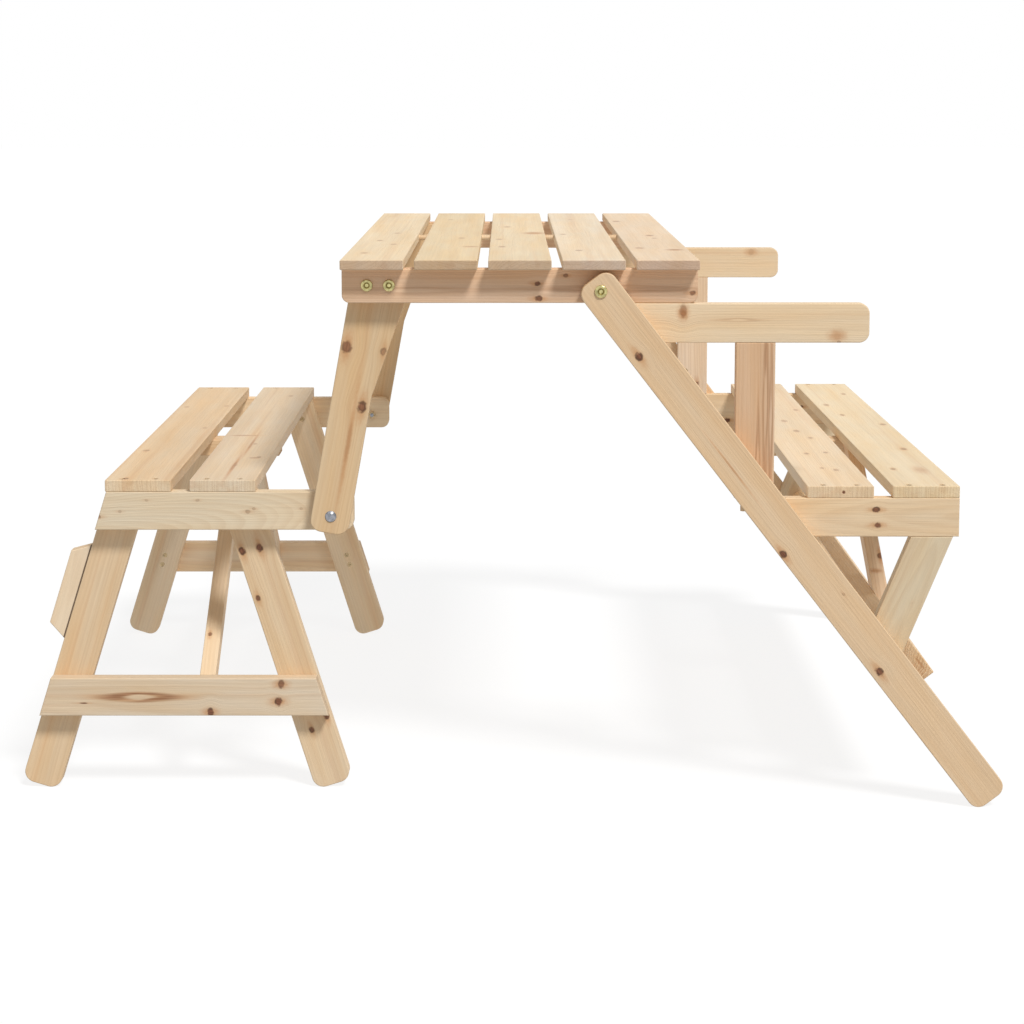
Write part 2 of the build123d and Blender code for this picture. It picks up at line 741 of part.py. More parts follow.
bench_washer = washer(bench_pivot, arm_y + board_t, bench_washer_t, bench_washer_d, arm_bolt_d)

# Drill the boards
arm_rail_holes = [
    bolt_hole(p, table_rail_y, arm_stack, arm_bolt_d, fit_gap) for p in arm_bolt_places
]
insert_holes = [
    pin((p[0], insert_y - fit_gap, p[1]), (0, 1, 0), insert_d / 2 + fit_gap, insert_l + cut_over)
    for p in arm_bolt_places
]
long_leg = long_leg - [bolt_hole(top_pivot, leg_y, board_t, top_bolt_d, fit_gap)] - frame_screw_holes
armrest = armrest - frame_screw_holes - butt_holes
post = post - frame_screw_holes - butt_holes
frame_rail = frame_rail - frame_screw_holes - butt_holes - frame_slat_holes
brace = brace - frame_screw_holes - butt_holes - end_holes
stretcher = stretcher - both(end_holes)
frame_slats = [s - both(frame_slat_holes) - frame_batten_holes for s in frame_slats]
frame_batten = frame_batten - frame_batten_holes
bench_slats = [s - both(bench_slat_holes) - bench_batten_holes for s in bench_slats]
bench_batten = bench_batten - bench_batten_holes
table_slats = [s - spine_holes - both(table_pin_holes) for s in table_slats]
table_rail = table_rail - [bolt_hole(top_pivot, table_rail_y, board_t, top_bolt_d, run_gap)]
table_rail = table_rail - arm_rail_holes - table_pin_holes
link_arm = link_arm - arm_rail_holes - insert_holes
link_arm = link_arm - [bolt_hole(bench_pivot, arm_y, board_t, arm_bolt_d, fit_gap)]
bench_rail = bench_rail - [bolt_hole(bench_pivot, bench_rail_y, board_t, arm_bolt_d, run_gap)]
bench_rail = bench_rail - bench_screw_holes - bench_slat_holes
crossbar = crossbar - bench_screw_holes
outer_leg = outer_leg - bench_screw_holes - block_holes
inner_leg = inner_leg - bench_screw_holes
block = block - block_holes

# Nodes of the fixed frame
place_pair("long_leg", long_leg)
place_pair("armrest", armrest)
place_pair("armrest_post", post)
place_pair("frame_seat_rail", frame_rail)
place_pair("frame_brace", brace)
nodes["frame_stretcher"] = stretcher
nodes["frame_seat_slat_inner"] = frame_slats[0]
nodes["frame_seat_slat_outer"] = frame_slats[1]
nodes["frame_seat_batten"] = frame_batten
place_pair("frame_strut", frame_strut)
nodes["frame_screws"] = Compound(both(frame_screws + frame_slat_screws) + frame_batten_screws)
nodes["frame_dowels"] = Compound(both(butt_dowels + end_dowels))
place_pair("table_pivot_bolt", top_bolt)
nodes["table_pivot_washers"] = Compound(both([top_washer]))
nodes["table_pivot_nuts"] = Compound(both([top_nut]))

# Nodes of the table top
for number, piece in enumerate(table_slats, 1):
    nodes["table_slat_" + str(number)] = piece
nodes["table_spine_dowel"] = spine[0]
place_pair("table_rail", table_rail)
place_pair("link_arm", link_arm)
nodes["table_slat_dowels"] = Compound(both(table_pins))
nodes["link_arm_bolts_front"] = Compound(arm_bolts)
nodes["link_arm_bolts_rear"] = Compound([rear(b) for b in arm_bolts])
nodes["link_arm_inserts"] = Compound(both(arm_inserts))
place_pair("bench_pivot_bolt", bench_bolt)
nodes["bench_pivot_washers"] = Compound(both([bench_washer]))
nodes["bench_pivot_nuts"] = Compound(both([bench_nut]))

# Nodes of the moving bench
nodes["bench_seat_slat_outer"] = bench_slats[0]
nodes["bench_seat_slat_inner"] = bench_slats[1]
nodes["bench_seat_batten"] = bench_batten
place_pair("bench_seat_rail", bench_rail)
place_pair("bench_crossbar", crossbar)
place_pair("bench_leg_outer", outer_leg)
place_pair("bench_leg_inner", inner_leg)
place_pair("bench_stop_block", block)
place_pair("bench_strut", bench_strut)
bench_side_screws = bench_screws + block_screws + bench_slat_screws
nodes["bench_screws"] = Compound(both(bench_side_screws) + bench_batten_screws)

os.makedirs("parts", exist_ok=True)
for name, solid in nodes.items():
    export_step(solid, "parts/" + name + ".step")

print("nodes", len(nodes))
print("table pivot", top_pivot, "bench pivot", bench_pivot, "full fold", full_fold)
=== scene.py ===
"""Looks of a convertible picnic table of fir boards, laid out as an add-on and run as a script."""

import json
from math import cos, radians, sin
from random import Random

import bmesh
import bpy
import numpy as np
from mathutils import Matrix, Vector

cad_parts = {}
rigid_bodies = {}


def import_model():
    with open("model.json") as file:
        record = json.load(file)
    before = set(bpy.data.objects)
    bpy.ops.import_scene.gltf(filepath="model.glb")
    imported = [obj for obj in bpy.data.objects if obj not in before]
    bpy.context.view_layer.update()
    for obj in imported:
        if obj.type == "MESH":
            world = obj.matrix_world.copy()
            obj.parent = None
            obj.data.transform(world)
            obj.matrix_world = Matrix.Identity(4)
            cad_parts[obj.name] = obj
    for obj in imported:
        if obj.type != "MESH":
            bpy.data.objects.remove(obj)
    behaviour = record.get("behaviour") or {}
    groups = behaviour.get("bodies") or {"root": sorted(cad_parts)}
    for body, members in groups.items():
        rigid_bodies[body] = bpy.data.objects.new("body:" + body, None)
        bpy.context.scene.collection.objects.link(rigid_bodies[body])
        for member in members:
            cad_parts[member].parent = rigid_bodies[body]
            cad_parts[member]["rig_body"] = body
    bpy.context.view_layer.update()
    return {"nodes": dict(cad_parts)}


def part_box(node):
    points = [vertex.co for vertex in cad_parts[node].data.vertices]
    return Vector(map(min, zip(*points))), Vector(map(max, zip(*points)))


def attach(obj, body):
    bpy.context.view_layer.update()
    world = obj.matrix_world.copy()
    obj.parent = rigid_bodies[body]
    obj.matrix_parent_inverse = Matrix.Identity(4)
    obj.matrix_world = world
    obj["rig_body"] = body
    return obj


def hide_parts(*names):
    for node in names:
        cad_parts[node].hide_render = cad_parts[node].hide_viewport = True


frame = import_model()

bl_info = {
    "name": "Convertible Picnic Table",
    "version": (1, 0, 0),
    "blender": (4, 5, 0),
    "location": "View3D > Sidebar > Picnic Table",
    "description": "Gives a folding picnic table its planed fir, its zinc fasteners and a studio",
    "category": "Object",
}

NODES = frame["nodes"]

# How a board lies in its log: where the pith is, across the board and through its thickness,
# and how far it drifts over a metre of length, all in metres.
CUTS = {
    "flat": (0.006, 0.052, 0.024),
    "slow": (0.030, 0.060, 0.006),
    "rift": (0.055, 0.050, 0.012),
    "quarter": (0.120, 0.006, 0.004),
    "arched": (0.018, 0.052, 0.14),
}

# How each kind of board is sawn, its tone against plain fir, and how far its rings show.
BOARDS = {
    "long_leg": ("rift", (0.965, 0.90, 0.845), 0.40),
    "armrest": ("quarter", (1.06, 1.06, 1.055), 0.40),
    "armrest_post": ("rift", (1.03, 1.04, 1.15), 0.70),
    "armrest_post_front": ("rift", (0.91, 0.77, 0.70), 0.60),
    "frame_seat_rail": ("flat", (1.03, 0.99, 0.94), 0.55),
    "frame_seat_slat_inner": ("quarter", (1.09, 1.11, 1.14), 0.45),
    "frame_seat_slat_outer": ("quarter", (1.10, 1.15, 1.16), 0.45),
    "frame_seat_batten": ("rift", (0.95, 0.90, 0.85), 0.90),
    "frame_brace": ("flat", (0.925, 0.96, 0.97), 0.55),
    "frame_stretcher": ("rift", (1.10, 1.06, 1.02), 0.90),
    "frame_strut": ("rift", (1.07, 1.00, 0.99), 0.90),
    "frame_dowels": ("quarter", (1.00, 0.97, 0.93), 0.60),
    "table_slat_1": ("slow", (1.09, 1.11, 1.10), 0.32),
    "table_slat_2": ("slow", (1.04, 1.04, 0.97), 0.32),
    "table_slat_3": ("slow", (1.07, 1.09, 1.07), 0.32),
    "table_slat_4": ("slow", (1.11, 1.16, 1.24), 0.30),
    "table_slat_5": ("slow", (1.08, 1.07, 1.11), 0.34),
    "table_slat_dowels": ("quarter", (1.00, 0.97, 0.93), 0.60),
    "table_spine_dowel": ("quarter", (1.06, 1.02, 0.98), 0.60),
    "table_rail": ("quarter", (1.00, 0.88, 0.865), 0.80),
    "link_arm": ("rift", (0.94, 0.86, 0.75), 0.55),
    "bench_seat_slat_outer": ("quarter", (0.98, 0.93, 0.87), 0.45),
    "bench_seat_slat_inner": ("quarter", (0.96, 0.97, 1.00), 0.42),
    "bench_seat_rail_front": ("arched", (0.99, 1.02, 1.04), 0.65),
    "bench_seat_rail_rear": ("slow", (1.12, 1.10, 1.06), 0.60),
    "bench_seat_batten": ("rift", (0.95, 0.90, 0.85), 0.90),
    "bench_crossbar_front": ("flat", (0.93, 0.96, 1.03), 0.60),
    # Painted light in part: the rear crossbar and rear legs are toned paler than their front twins
    # to make up for the light that the seat shades off them.
    "bench_crossbar_rear": ("flat", (1.12, 1.11, 1.12), 0.60),
    "bench_leg": ("rift", (1.13, 1.14, 1.15), 0.40),
    "bench_leg_outer_rear": ("rift", (1.13, 1.12, 1.12), 0.40),
    "bench_leg_outer_front": ("rift", (1.00, 0.945, 0.885), 0.45),
    "bench_leg_inner_front": ("rift", (1.00, 0.985, 0.97), 0.42),
    "bench_stop_block": ("flat", (1.08, 1.09, 1.13), 0.45),
    "bench_strut": ("rift", (1.05, 1.05, 1.07), 0.60),
}

# Tint of the sawn ends that differ from the others.
ENDS = {"table_slat": (0.78, 0.74, 0.79), "bench_seat_slat": (1.13, 1.20, 1.30)}

# Knots that stand out: along the board, across it and radius in metres, and how dark each is.
# A board that isn't listed gets a few small ones at random places.
KNOTS = {
    "long_leg_front": [
        (0.311, -0.012, 0.0050, 1.0), (-0.002, -0.020, 0.0048, 1.0), (-0.199, -0.014, 0.0052, 1.0),
        (-0.090, 0.010, 0.0022, 0.25),
    ],
    "link_arm_front": [(0.066, 0.016, 0.0046, 0.5), (-0.009, 0.001, 0.0065, 0.9)],
    "bench_leg_inner_front": [
        (0.123, -0.018, 0.0048, 1.0), (0.121, 0.005, 0.0052, 1.0), (0.057, -0.018, 0.0035, 0.9),
        (-0.120, 0.019, 0.0042, 0.9), (-0.132, -0.005, 0.0038, 0.9),
    ],
    "bench_crossbar_front": [],
    "frame_seat_rail_front": [(0.034, -0.010, 0.0040, 0.95), (0.036, 0.010, 0.0040, 0.95)],
    "table_rail_front": [
        (0.022, -0.003, 0.0034, 0.9), (0.024, 0.016, 0.0040, 0.9), (0.058, -0.013, 0.0028, 0.6),
        (0.218, 0.009, 0.0035, 0.7),
    ],
    "armrest_front": [(0.115, 0.024, 0.0020, 0.35)],
    "armrest_rear": [],
    "armrest_post_front": [],
    "armrest_post_rear": [(-0.082, 0.008, 0.0040, 0.8)],
    "frame_seat_rail_rear": [(-0.062, 0.020, 0.0045, 1.0), (0.064, -0.003, 0.0030, 0.9)],
    "bench_leg_outer_front": [],
    "bench_leg_outer_rear": [],
    "bench_leg_inner_rear": [],
    "bench_strut_front": [(-0.152, 0.0040, 0.0032, 0.7)],
    "bench_stop_block_front": [],
    "bench_seat_rail_front": [
        (-0.135, 0.001, 0.0022, 0.25), (-0.100, -0.014, 0.0020, 0.20),
        (-0.034, -0.014, 0.0022, 0.25), (0.031, 0.001, 0.0030, 0.35),
        (0.039, -0.003, 0.0022, 0.25), (0.100, -0.003, 0.0018, 0.20),
        (-0.163, 0.008, 0.0030, 0.45),
    ],
    "table_slat_1": [
        (0.000, -0.008, 0.005, 0.30), (-0.162, 0.009, 0.005, 0.35), (-0.238, -0.014, 0.005, 0.30),
        (-0.403, 0.016, 0.005, 0.40),
    ],
    "table_slat_2": [(0.347, 0.014, 0.004, 0.25), (-0.109, -0.012, 0.005, 0.30)],
    "table_slat_3": [
        (0.151, 0.016, 0.006, 0.35), (-0.135, 0.027, 0.005, 0.35), (-0.287, 0.023, 0.005, 0.4),
    ],
    "table_slat_4": [
        (0.347, 0.006, 0.004, 0.2), (-0.026, 0.027, 0.005, 0.3), (-0.357, 0.014, 0.005, 0.4),
    ],
    "table_slat_5": [
        (-0.054, -0.005, 0.006, 0.50), (-0.112, -0.008, 0.004, 0.35), (-0.312, 0.024, 0.006, 0.4),
        (0.297, 0.027, 0.006, 0.45),
    ],
    "bench_seat_slat_outer": [
        (0.222, 0.030, 0.004, 0.25), (0.233, -0.032, 0.004, 0.25), (-0.004, -0.028, 0.004, 0.25),
        (-0.220, 0.026, 0.005, 0.35), (-0.452, 0.017, 0.004, 0.5),
    ],
    "bench_seat_slat_inner": [
        (0.353, -0.014, 0.004, 0.3), (-0.159, -0.010, 0.003, 0.3), (-0.343, -0.003, 0.003, 0.4),
        (-0.276, -0.028, 0.003, 0.4),
    ],
    "frame_seat_slat_inner": [
        (0.188, -0.029, 0.004, 0.35), (0.068, 0.004, 0.005, 0.35), (-0.035, -0.002, 0.005, 0.4),
        (-0.103, -0.014, 0.004, 0.35), (-0.246, 0.010, 0.004, 0.35), (-0.237, -0.018, 0.004, 0.35),
        (-0.384, -0.012, 0.004, 0.35), (-0.368, 0.005, 0.003, 0.35),
    ],
    "frame_seat_slat_outer": [
        (0.377, -0.021, 0.004, 0.45), (0.245, 0.025, 0.005, 0.4), (0.132, 0.016, 0.004, 0.5),
        (0.032, -0.031, 0.005, 0.4), (-0.205, -0.022, 0.005, 0.5), (-0.376, 0.021, 0.004, 0.5),
    ],
}

# Branch wood that the saw met at a slant, and stains: middle and half size along, across and
# through the board in metres, and how far the heart, the rim and the stain round it show.
SPIKES = {
    "link_arm_front": [
        ((0.064, -0.031, -0.010), (0.0085, 0.0070, 0.02), (0.80, 0.45, 1.00)),
        ((-0.056, -0.008, -0.010), (0.0300, 0.0032, 0.02), (0.15, 0.05, 0.85)),
    ],
    "long_leg_front": [((0.128, -0.005, -0.010), (0.0210, 0.0014, 0.02), (0.15, 0.05, 0.85))],
    "frame_strut_front": [
        ((-0.074, 0.0105, 0.0085), (0.0070, 0.0080, 0.0045), (0.80, 0.50, 1.00)),
        ((-0.104, 0.0105, -0.0020), (0.0020, 0.0060, 0.0090), (0.12, 0.05, 0.85)),
    ],
    "frame_stretcher": [((-0.491, -0.022, 0.003), (0.030, 0.0110, 0.0016), (0.12, 0.05, 0.85))],
    "bench_seat_slat_inner": [
        ((-0.163, -0.005, 0.008), (0.046, 0.0022, 0.006), (0.22, 0.10, 0.90)),
        ((-0.352, -0.002, 0.008), (0.040, 0.0026, 0.006), (0.28, 0.10, 0.90)),
        ((-0.079, 0.015, 0.008), (0.0025, 0.020, 0.006), (0.25, 0.30, 0.70)),
        ((-0.283, -0.023, 0.008), (0.0025, 0.008, 0.006), (0.25, 0.30, 0.70)),
    ],
    "armrest_front": [
        ((-0.082, -0.015, -0.009), (0.0054, 0.0096, 0.008), (0.45, 0.12, 0.00)),
        ((-0.082, -0.013, -0.009), (0.0028, 0.0100, 0.008), (0.00, 0.00, 1.30)),
        ((0.113, 0.016, -0.009), (0.0046, 0.0080, 0.008), (0.04, 0.00, 0.90)),
    ],
    "armrest_rear": [((0.108, -0.018, -0.009), (0.0045, 0.0070, 0.008), (0.12, 0.05, 0.70))],
    "bench_leg_outer_rear": [((0.080, 0.010, 0.0105), (0.0045, 0.0036, 0.006), (0.80, 0.60, 0.80))],
    "bench_leg_inner_rear": [
        ((-0.110, -0.006, 0.0105), (0.0050, 0.0040, 0.006), (0.80, 0.60, 0.80)),
    ],
    "frame_seat_slat_inner": [((-0.509, -0.004, 0.0), (0.020, 0.0022, 0.0022), (1.0, 0.6, 1.0))],
    "frame_seat_slat_outer": [((-0.384, -0.014, 0.008), (0.012, 0.010, 0.006), (0.05, 0.00, 0.60))],
    "table_slat_2": [((-0.286, -0.028, 0.006), (0.0045, 0.011, 0.006), (0.20, 0.15, 0.80))],
    "table_slat_5": [((-0.346, -0.021, 0.006), (0.0060, 0.011, 0.006), (0.45, 0.35, 1.00))],
    "table_slat_3": [((0.000, -0.023, 0.006), (0.0100, 0.015, 0.006), (0.12, 0.05, 1.00))],
    "bench_crossbar_front": [
        ((0.124, 0.006, -0.010), (0.0050, 0.0062, 0.02), (1.00, 0.90, 1.00)),
        ((0.035, 0.020, -0.010), (0.0042, 0.0060, 0.02), (1.00, 0.80, 1.00)),
        ((0.128, -0.017, -0.010), (0.0044, 0.0062, 0.02), (0.80, 0.50, 1.00)),
        ((-0.131, 0.008, -0.010), (0.0060, 0.0012, 0.01), (0.90, 0.50, 0.60)),
    ],
}

# Brown flames in the grain: along, across, half length and half width in metres, strength.
FLAMES = {
    "bench_crossbar_front": [(-0.058, 0.000, 0.034, 0.0052, 1.15)],
    "armrest_front": [(-0.012, -0.004, 0.020, 0.0020, 0.35)],
    "armrest_post_front": [
        (0.020, 0.013, 0.080, 0.0030, 0.6), (0.000, 0.020, 0.070, 0.0022, 0.6),
        (-0.055, 0.004, 0.050, 0.0025, 0.6),
    ],
    "table_rail_front": [(0.120, 0.004, 0.080, 0.0040, 0.35), (-0.130, 0.006, 0.070, 0.0040, 0.25)],
}

# Boards that lie against another with their high side across, where a painted shadow shows as a
# dark line along that side for the shade in the gap between the boards, and how far in from that
# side it begins and is full, in metres.
SEAM_SHADOWS = ("bench_stop_block",)
SEAM_SHADOW_EDGE = (0.0020, 0.0012)

# What the knot and flame groups hand on: the bent place, and how far each mark shows.
MARKS = {"Bent": "Vector", "Heart": "Float", "Rim": "Float", "Halo": "Float"}

# How far a knot or flame reaches through the board to each side of its middle, in metres.
THROUGH = 0.03

# How far a knot's rim and halo show against its heart.
KNOT_FORCE = {"rim": 0.9, "halo": 1.4, "spare_rim": 0.5}

# Small knots at random places: how many at most and the half length of board that each needs,
# the share of the board's half sizes that they keep to, and the ranges of the rest.
SPARE_KNOTS = {
    "most": 2, "room": 0.05, "along": 0.9, "across": 0.85,
    "radius": (0.0018, 0.0036), "through": (0.008, 0.03), "force": (0.3, 0.8),
}

# One knot, where 1 is its own half size. Two noises, by scale per metre and detail, make the
# outline ragged and break the rim. Other pairs say where a mark begins and is full, or gone.
KNOT_SHAPE = {
    "rag_noise": (260.0, 3.0), "rag": 0.45, "halo_rag": 0.5, "halo_stretch": (0.30, 0.75, 0.75),
    "patch_noise": (170.0, 1.0), "patches": (-0.18, 0.12), "heart": (0.60, 1.02),
    "rim_inside": (0.45, 0.80), "rim_outside": (0.88, 1.20), "halo": (0.15, 1.35),
    "halo_fade": 1.5, "bend_reach": -0.16, "bend": 1.3, "most_bend": 0.8,
}

# One flame in the same way: a ring round a pale eye, tails along the grain, and brown streaks.
FLAME_SHAPE = {
    "streak_noise": ((16.0, 420.0, 420.0), 2.0), "streaks": 0.7, "point": 1.3,
    "ring_inside": (0.20, 0.75), "ring_outside": (2.6, 0.90),
    "tail_start": (0.5, 1.0), "tail_end": (2.8, 0.9), "tail_streaks": 1.4, "tail_side": (0.9, 0.0),
    "strength": (0.8, 1.7), "heart_streaks": (-0.25, 0.10), "heart": 0.60,
    "bend_reach": -0.3, "bend": 0.7,
}

# Noises of the wood: how fast each changes along, across and through the board, per metre, and
# its detail. Each board sees them shifted by its seed.
NOISES = {
    "wander": ((1.3, 8.0, 8.0), 2.0),
    "ripple": ((7.0, 60.0, 60.0), 1.0),
    "fibre": ((10.0, 900.0, 900.0), 3.0),
    "speck": ((60.0, 2800.0, 2800.0), 2.0),
    "cloud": ((2.2, 15.0, 15.0), 3.0),
    "band": ((0.7, 55.0, 55.0), 2.0),
    "hair": ((2.0, 330.0, 330.0), 2.0),
    "mottle": ((9.0, 42.0, 42.0), 2.0),
    "blotch": ((2.6, 34.0, 34.0), 2.0),
    "pore": ((400.0, 1500.0, 1500.0), 2.0),
}
SEED_SHIFT = (7.3, 3.1, 5.7)

# How far the log strays from round, in metres, and what each part adds to the wood's brightness,
# roughness and height.
STRAY = {"wander": 0.026, "ripple": 0.0016}
SHADE = {"fibre": 0.13, "speck": 0.12, "hair": 0.14, "cloud": 0.28, "mottle": 0.12}
ROUGHNESS = {"late": -0.07, "fibre": 0.25, "end": 0.15, "heart": -0.2}
PLAIN_ROUGHNESS = 0.66
HEIGHT = {"fibre": 1.1, "late": 0.25, "speck": 0.6, "hair": 0.5, "end pore": 2.4, "rim": -0.8}

# The years: how uneven their widths and their lines are and how often that changes, where the
# late wood of a year begins and ends, and how much bolder it is in a sawn end.
YEARS = {
    "width_pace": 0.41, "width": 1.6, "line_pace": 0.23, "line": (-0.2, 1.7),
    "late_start": (0.20, 0.88), "late_end": (0.88, 1.0), "in_end": (1.0, 2.2),
}

# Warm bands and reddish blushes: where a band begins and is full, the mottle's share in a blush,
# and the tint of red, green and blue from none to full blush.
WARM_BAND = (0.03, 0.26)
BLUSH_MOTTLE = 0.8
BLUSH_TINT = ((1.0, 0.88), (1.0, 0.72), (1.0, 0.48))

# Painted highlight along the rounded edges: paler early wood that stands in for the light the
# rounding catches; how far in from both faces it begins and is full, in metres.
EDGE_HIGHLIGHT = (0.0022, 0.0004)

# Noise from which a knot's heart is dark, and to which it is reddish.
FLECKS = (-0.12, 0.16)

# How much of each colour shows where its mark is full.
COVER = {"warm": 0.22, "eased": 0.30, "halo": 0.75, "heart": 0.92, "rim": 0.85}

# How much of a face's normal runs along the board where it begins to look sawn across, and does.
END_FACING = (0.55, 0.78)

# Mirror light of planed wood.
SPECULAR = 0.30

# Random draws of a board: brightness, place in its log, drift and seed.
LIGHTS = (0.985, 1.015)
PITH_SPREAD = (-0.1, 0.1)
DRIFTS = (0.7, 1.3)
SEEDS = (0, 9)

# Faces this square to a board's thickness are its edges.
SQUARE = 0.05

# Plating: scale per metre and detail of its clouds and its grit, what the clouds add to its
# brightness and roughness, and the depth of the grit in metres.
ZINC_CLOUD = (260.0, 3.0)
ZINC_GRIT = (2200.0, 2.0)
CLOUD_SHADE = 1.6
CLOUD_ROUGHNESS = 0.4
GRIT_DEPTH = 0.00004

# Brightness of the unshaded floor to the camera, a little past white, and the camera's far end.
FLOOR_WHITE = 1.02
FAR_END = 100

# What every colour property shares.
COLOUR = {"subtype": "COLOR", "size": 3, "min": 0, "max": 1}


class FirFinish(bpy.types.PropertyGroup):
    """Colours and scale of the planed fir."""

    early_wood: bpy.props.FloatVectorProperty(
        name="Early wood", description="Pale wood between the rings",
        default=(0.800, 0.620, 0.412), **COLOUR,
    )
    late_wood: bpy.props.FloatVectorProperty(
        name="Late wood", description="Darker line of each ring",
        default=(0.560, 0.345, 0.175), **COLOUR,
    )
    knot: bpy.props.FloatVectorProperty(
        name="Knot", description="Heart of a knot",
        default=(0.115, 0.036, 0.018), **COLOUR,
    )
    knot_light: bpy.props.FloatVectorProperty(
        name="Knot flecks", description="Reddish flecks in the heart",
        default=(0.230, 0.085, 0.042), **COLOUR,
    )
    # Also the colour of the painted shadow along a seam.
    knot_rim_and_seam_shadow: bpy.props.FloatVectorProperty(
        name="Knot rim", description="Dark line round a knot",
        default=(0.045, 0.016, 0.009), **COLOUR,
    )
    halo: bpy.props.FloatVectorProperty(
        name="Knot halo", description="Resin-stained wood round a knot",
        default=(0.560, 0.265, 0.105), **COLOUR,
    )
    end_grain: bpy.props.FloatVectorProperty(
        name="End grain", description="Tint of the sawn ends",
        default=(0.97, 0.94, 0.90), **COLOUR,
    )
    ring_width: bpy.props.FloatProperty(
        name="Ring width", description="Wood grown in one year", unit="LENGTH",
        min=0.001, max=0.02, default=0.0036,
    )
    line_strength: bpy.props.FloatProperty(
        name="Line strength", description="How far the rings darken", subtype="FACTOR",
        min=0, max=1, default=0.40,
    )
    relief: bpy.props.FloatProperty(
        name="Relief", description="Depth of the planed surface's texture", unit="LENGTH",
        min=0, max=0.002, default=0.00028,
    )
    knot_length: bpy.props.FloatProperty(
        name="Knot length", description="Length of a knot along the grain, as a share of its width",
        min=0.5, max=4, default=1.25,
    )


class ZincFinish(bpy.types.PropertyGroup):
    """Colours of the plated fasteners."""

    yellow: bpy.props.FloatVectorProperty(
        name="Yellow zinc", description="Plating of the flat-headed bolts",
        default=(0.53, 0.47, 0.22), **COLOUR,
    )
    bright: bpy.props.FloatVectorProperty(
        name="Bright zinc", description="Plating of the domed bolts",
        default=(0.30, 0.31, 0.34), **COLOUR,
    )
    # Painted shade: a darker, duller zinc on the socket's walls that stands in for the shade inside
    # the socket.
    painted_socket_shade: bpy.props.FloatVectorProperty(
        name="Socket", description="Duller plating inside a bolt's socket",
        default=(0.24, 0.19, 0.06), **COLOUR,
    )
    sunk: bpy.props.FloatVectorProperty(
        name="Sunk screws", description="Dull plating of the screws",
        default=(0.44, 0.33, 0.19), **COLOUR,
    )
    roughness: bpy.props.FloatProperty(
        name="Roughness", description="Dullness of the plating", subtype="FACTOR",
        min=0, max=1, default=0.28,
    )


class StudioSetup(bpy.types.PropertyGroup):
    """Camera and light."""

    camera_place: bpy.props.FloatVectorProperty(
        name="Camera", description="Where the camera stands", subtype="TRANSLATION",
        unit="LENGTH", size=3, default=(-0.0005, -3.436, 0.9248),
    )
    camera_pitch: bpy.props.FloatProperty(
        name="Pitch", description="How far the camera looks down", subtype="ANGLE",
        default=radians(6.739),
    )
    camera_lens: bpy.props.FloatProperty(
        name="Lens", description="Focal length in millimetres", min=10, max=300, default=81.85,
    )
    camera_shift: bpy.props.FloatVectorProperty(
        name="Shift", description="Shift of the lens, as a share of the frame", size=2,
        default=(0.0053, -0.15),
    )
    key: bpy.props.FloatProperty(
        name="High lamp", description="Strength of the high lamp", min=0, default=2.45,
    )
    key_side: bpy.props.FloatVectorProperty(
        name="High lamp from", description="Side that the high lamp shines from",
        subtype="DIRECTION", size=3, default=(0.42, -0.65, 1.0),
    )
    key_size: bpy.props.FloatProperty(
        name="High lamp size", description="Softness of its shadows", subtype="ANGLE",
        default=radians(12),
    )
    sky: bpy.props.FloatProperty(
        name="Sky", description="Even light from all round", min=0, default=0.36,
    )
    # Painted light: the floor glows with this even light to all rays but the camera's, so it lights
    # the table from below like a lamp, with no shadow in it.
    floor_glow: bpy.props.FloatProperty(
        name="Floor light", description="Even light that the pale floor throws up", min=0,
        default=0.45,
    )
    floor_grey: bpy.props.FloatProperty(
        name="Floor grey", description="Share of the lamps' light that the floor throws back",
        subtype="FACTOR", min=0, max=1, default=0.15,
    )
    floor_shade: bpy.props.FloatProperty(
        name="Floor shade", description="How dark shadows look on the floor", subtype="FACTOR",
        min=0, max=1, default=0.18,
    )
    floor_size: bpy.props.FloatProperty(
        name="Floor", description="Half width of the floor", unit="LENGTH", default=30.0,
    )


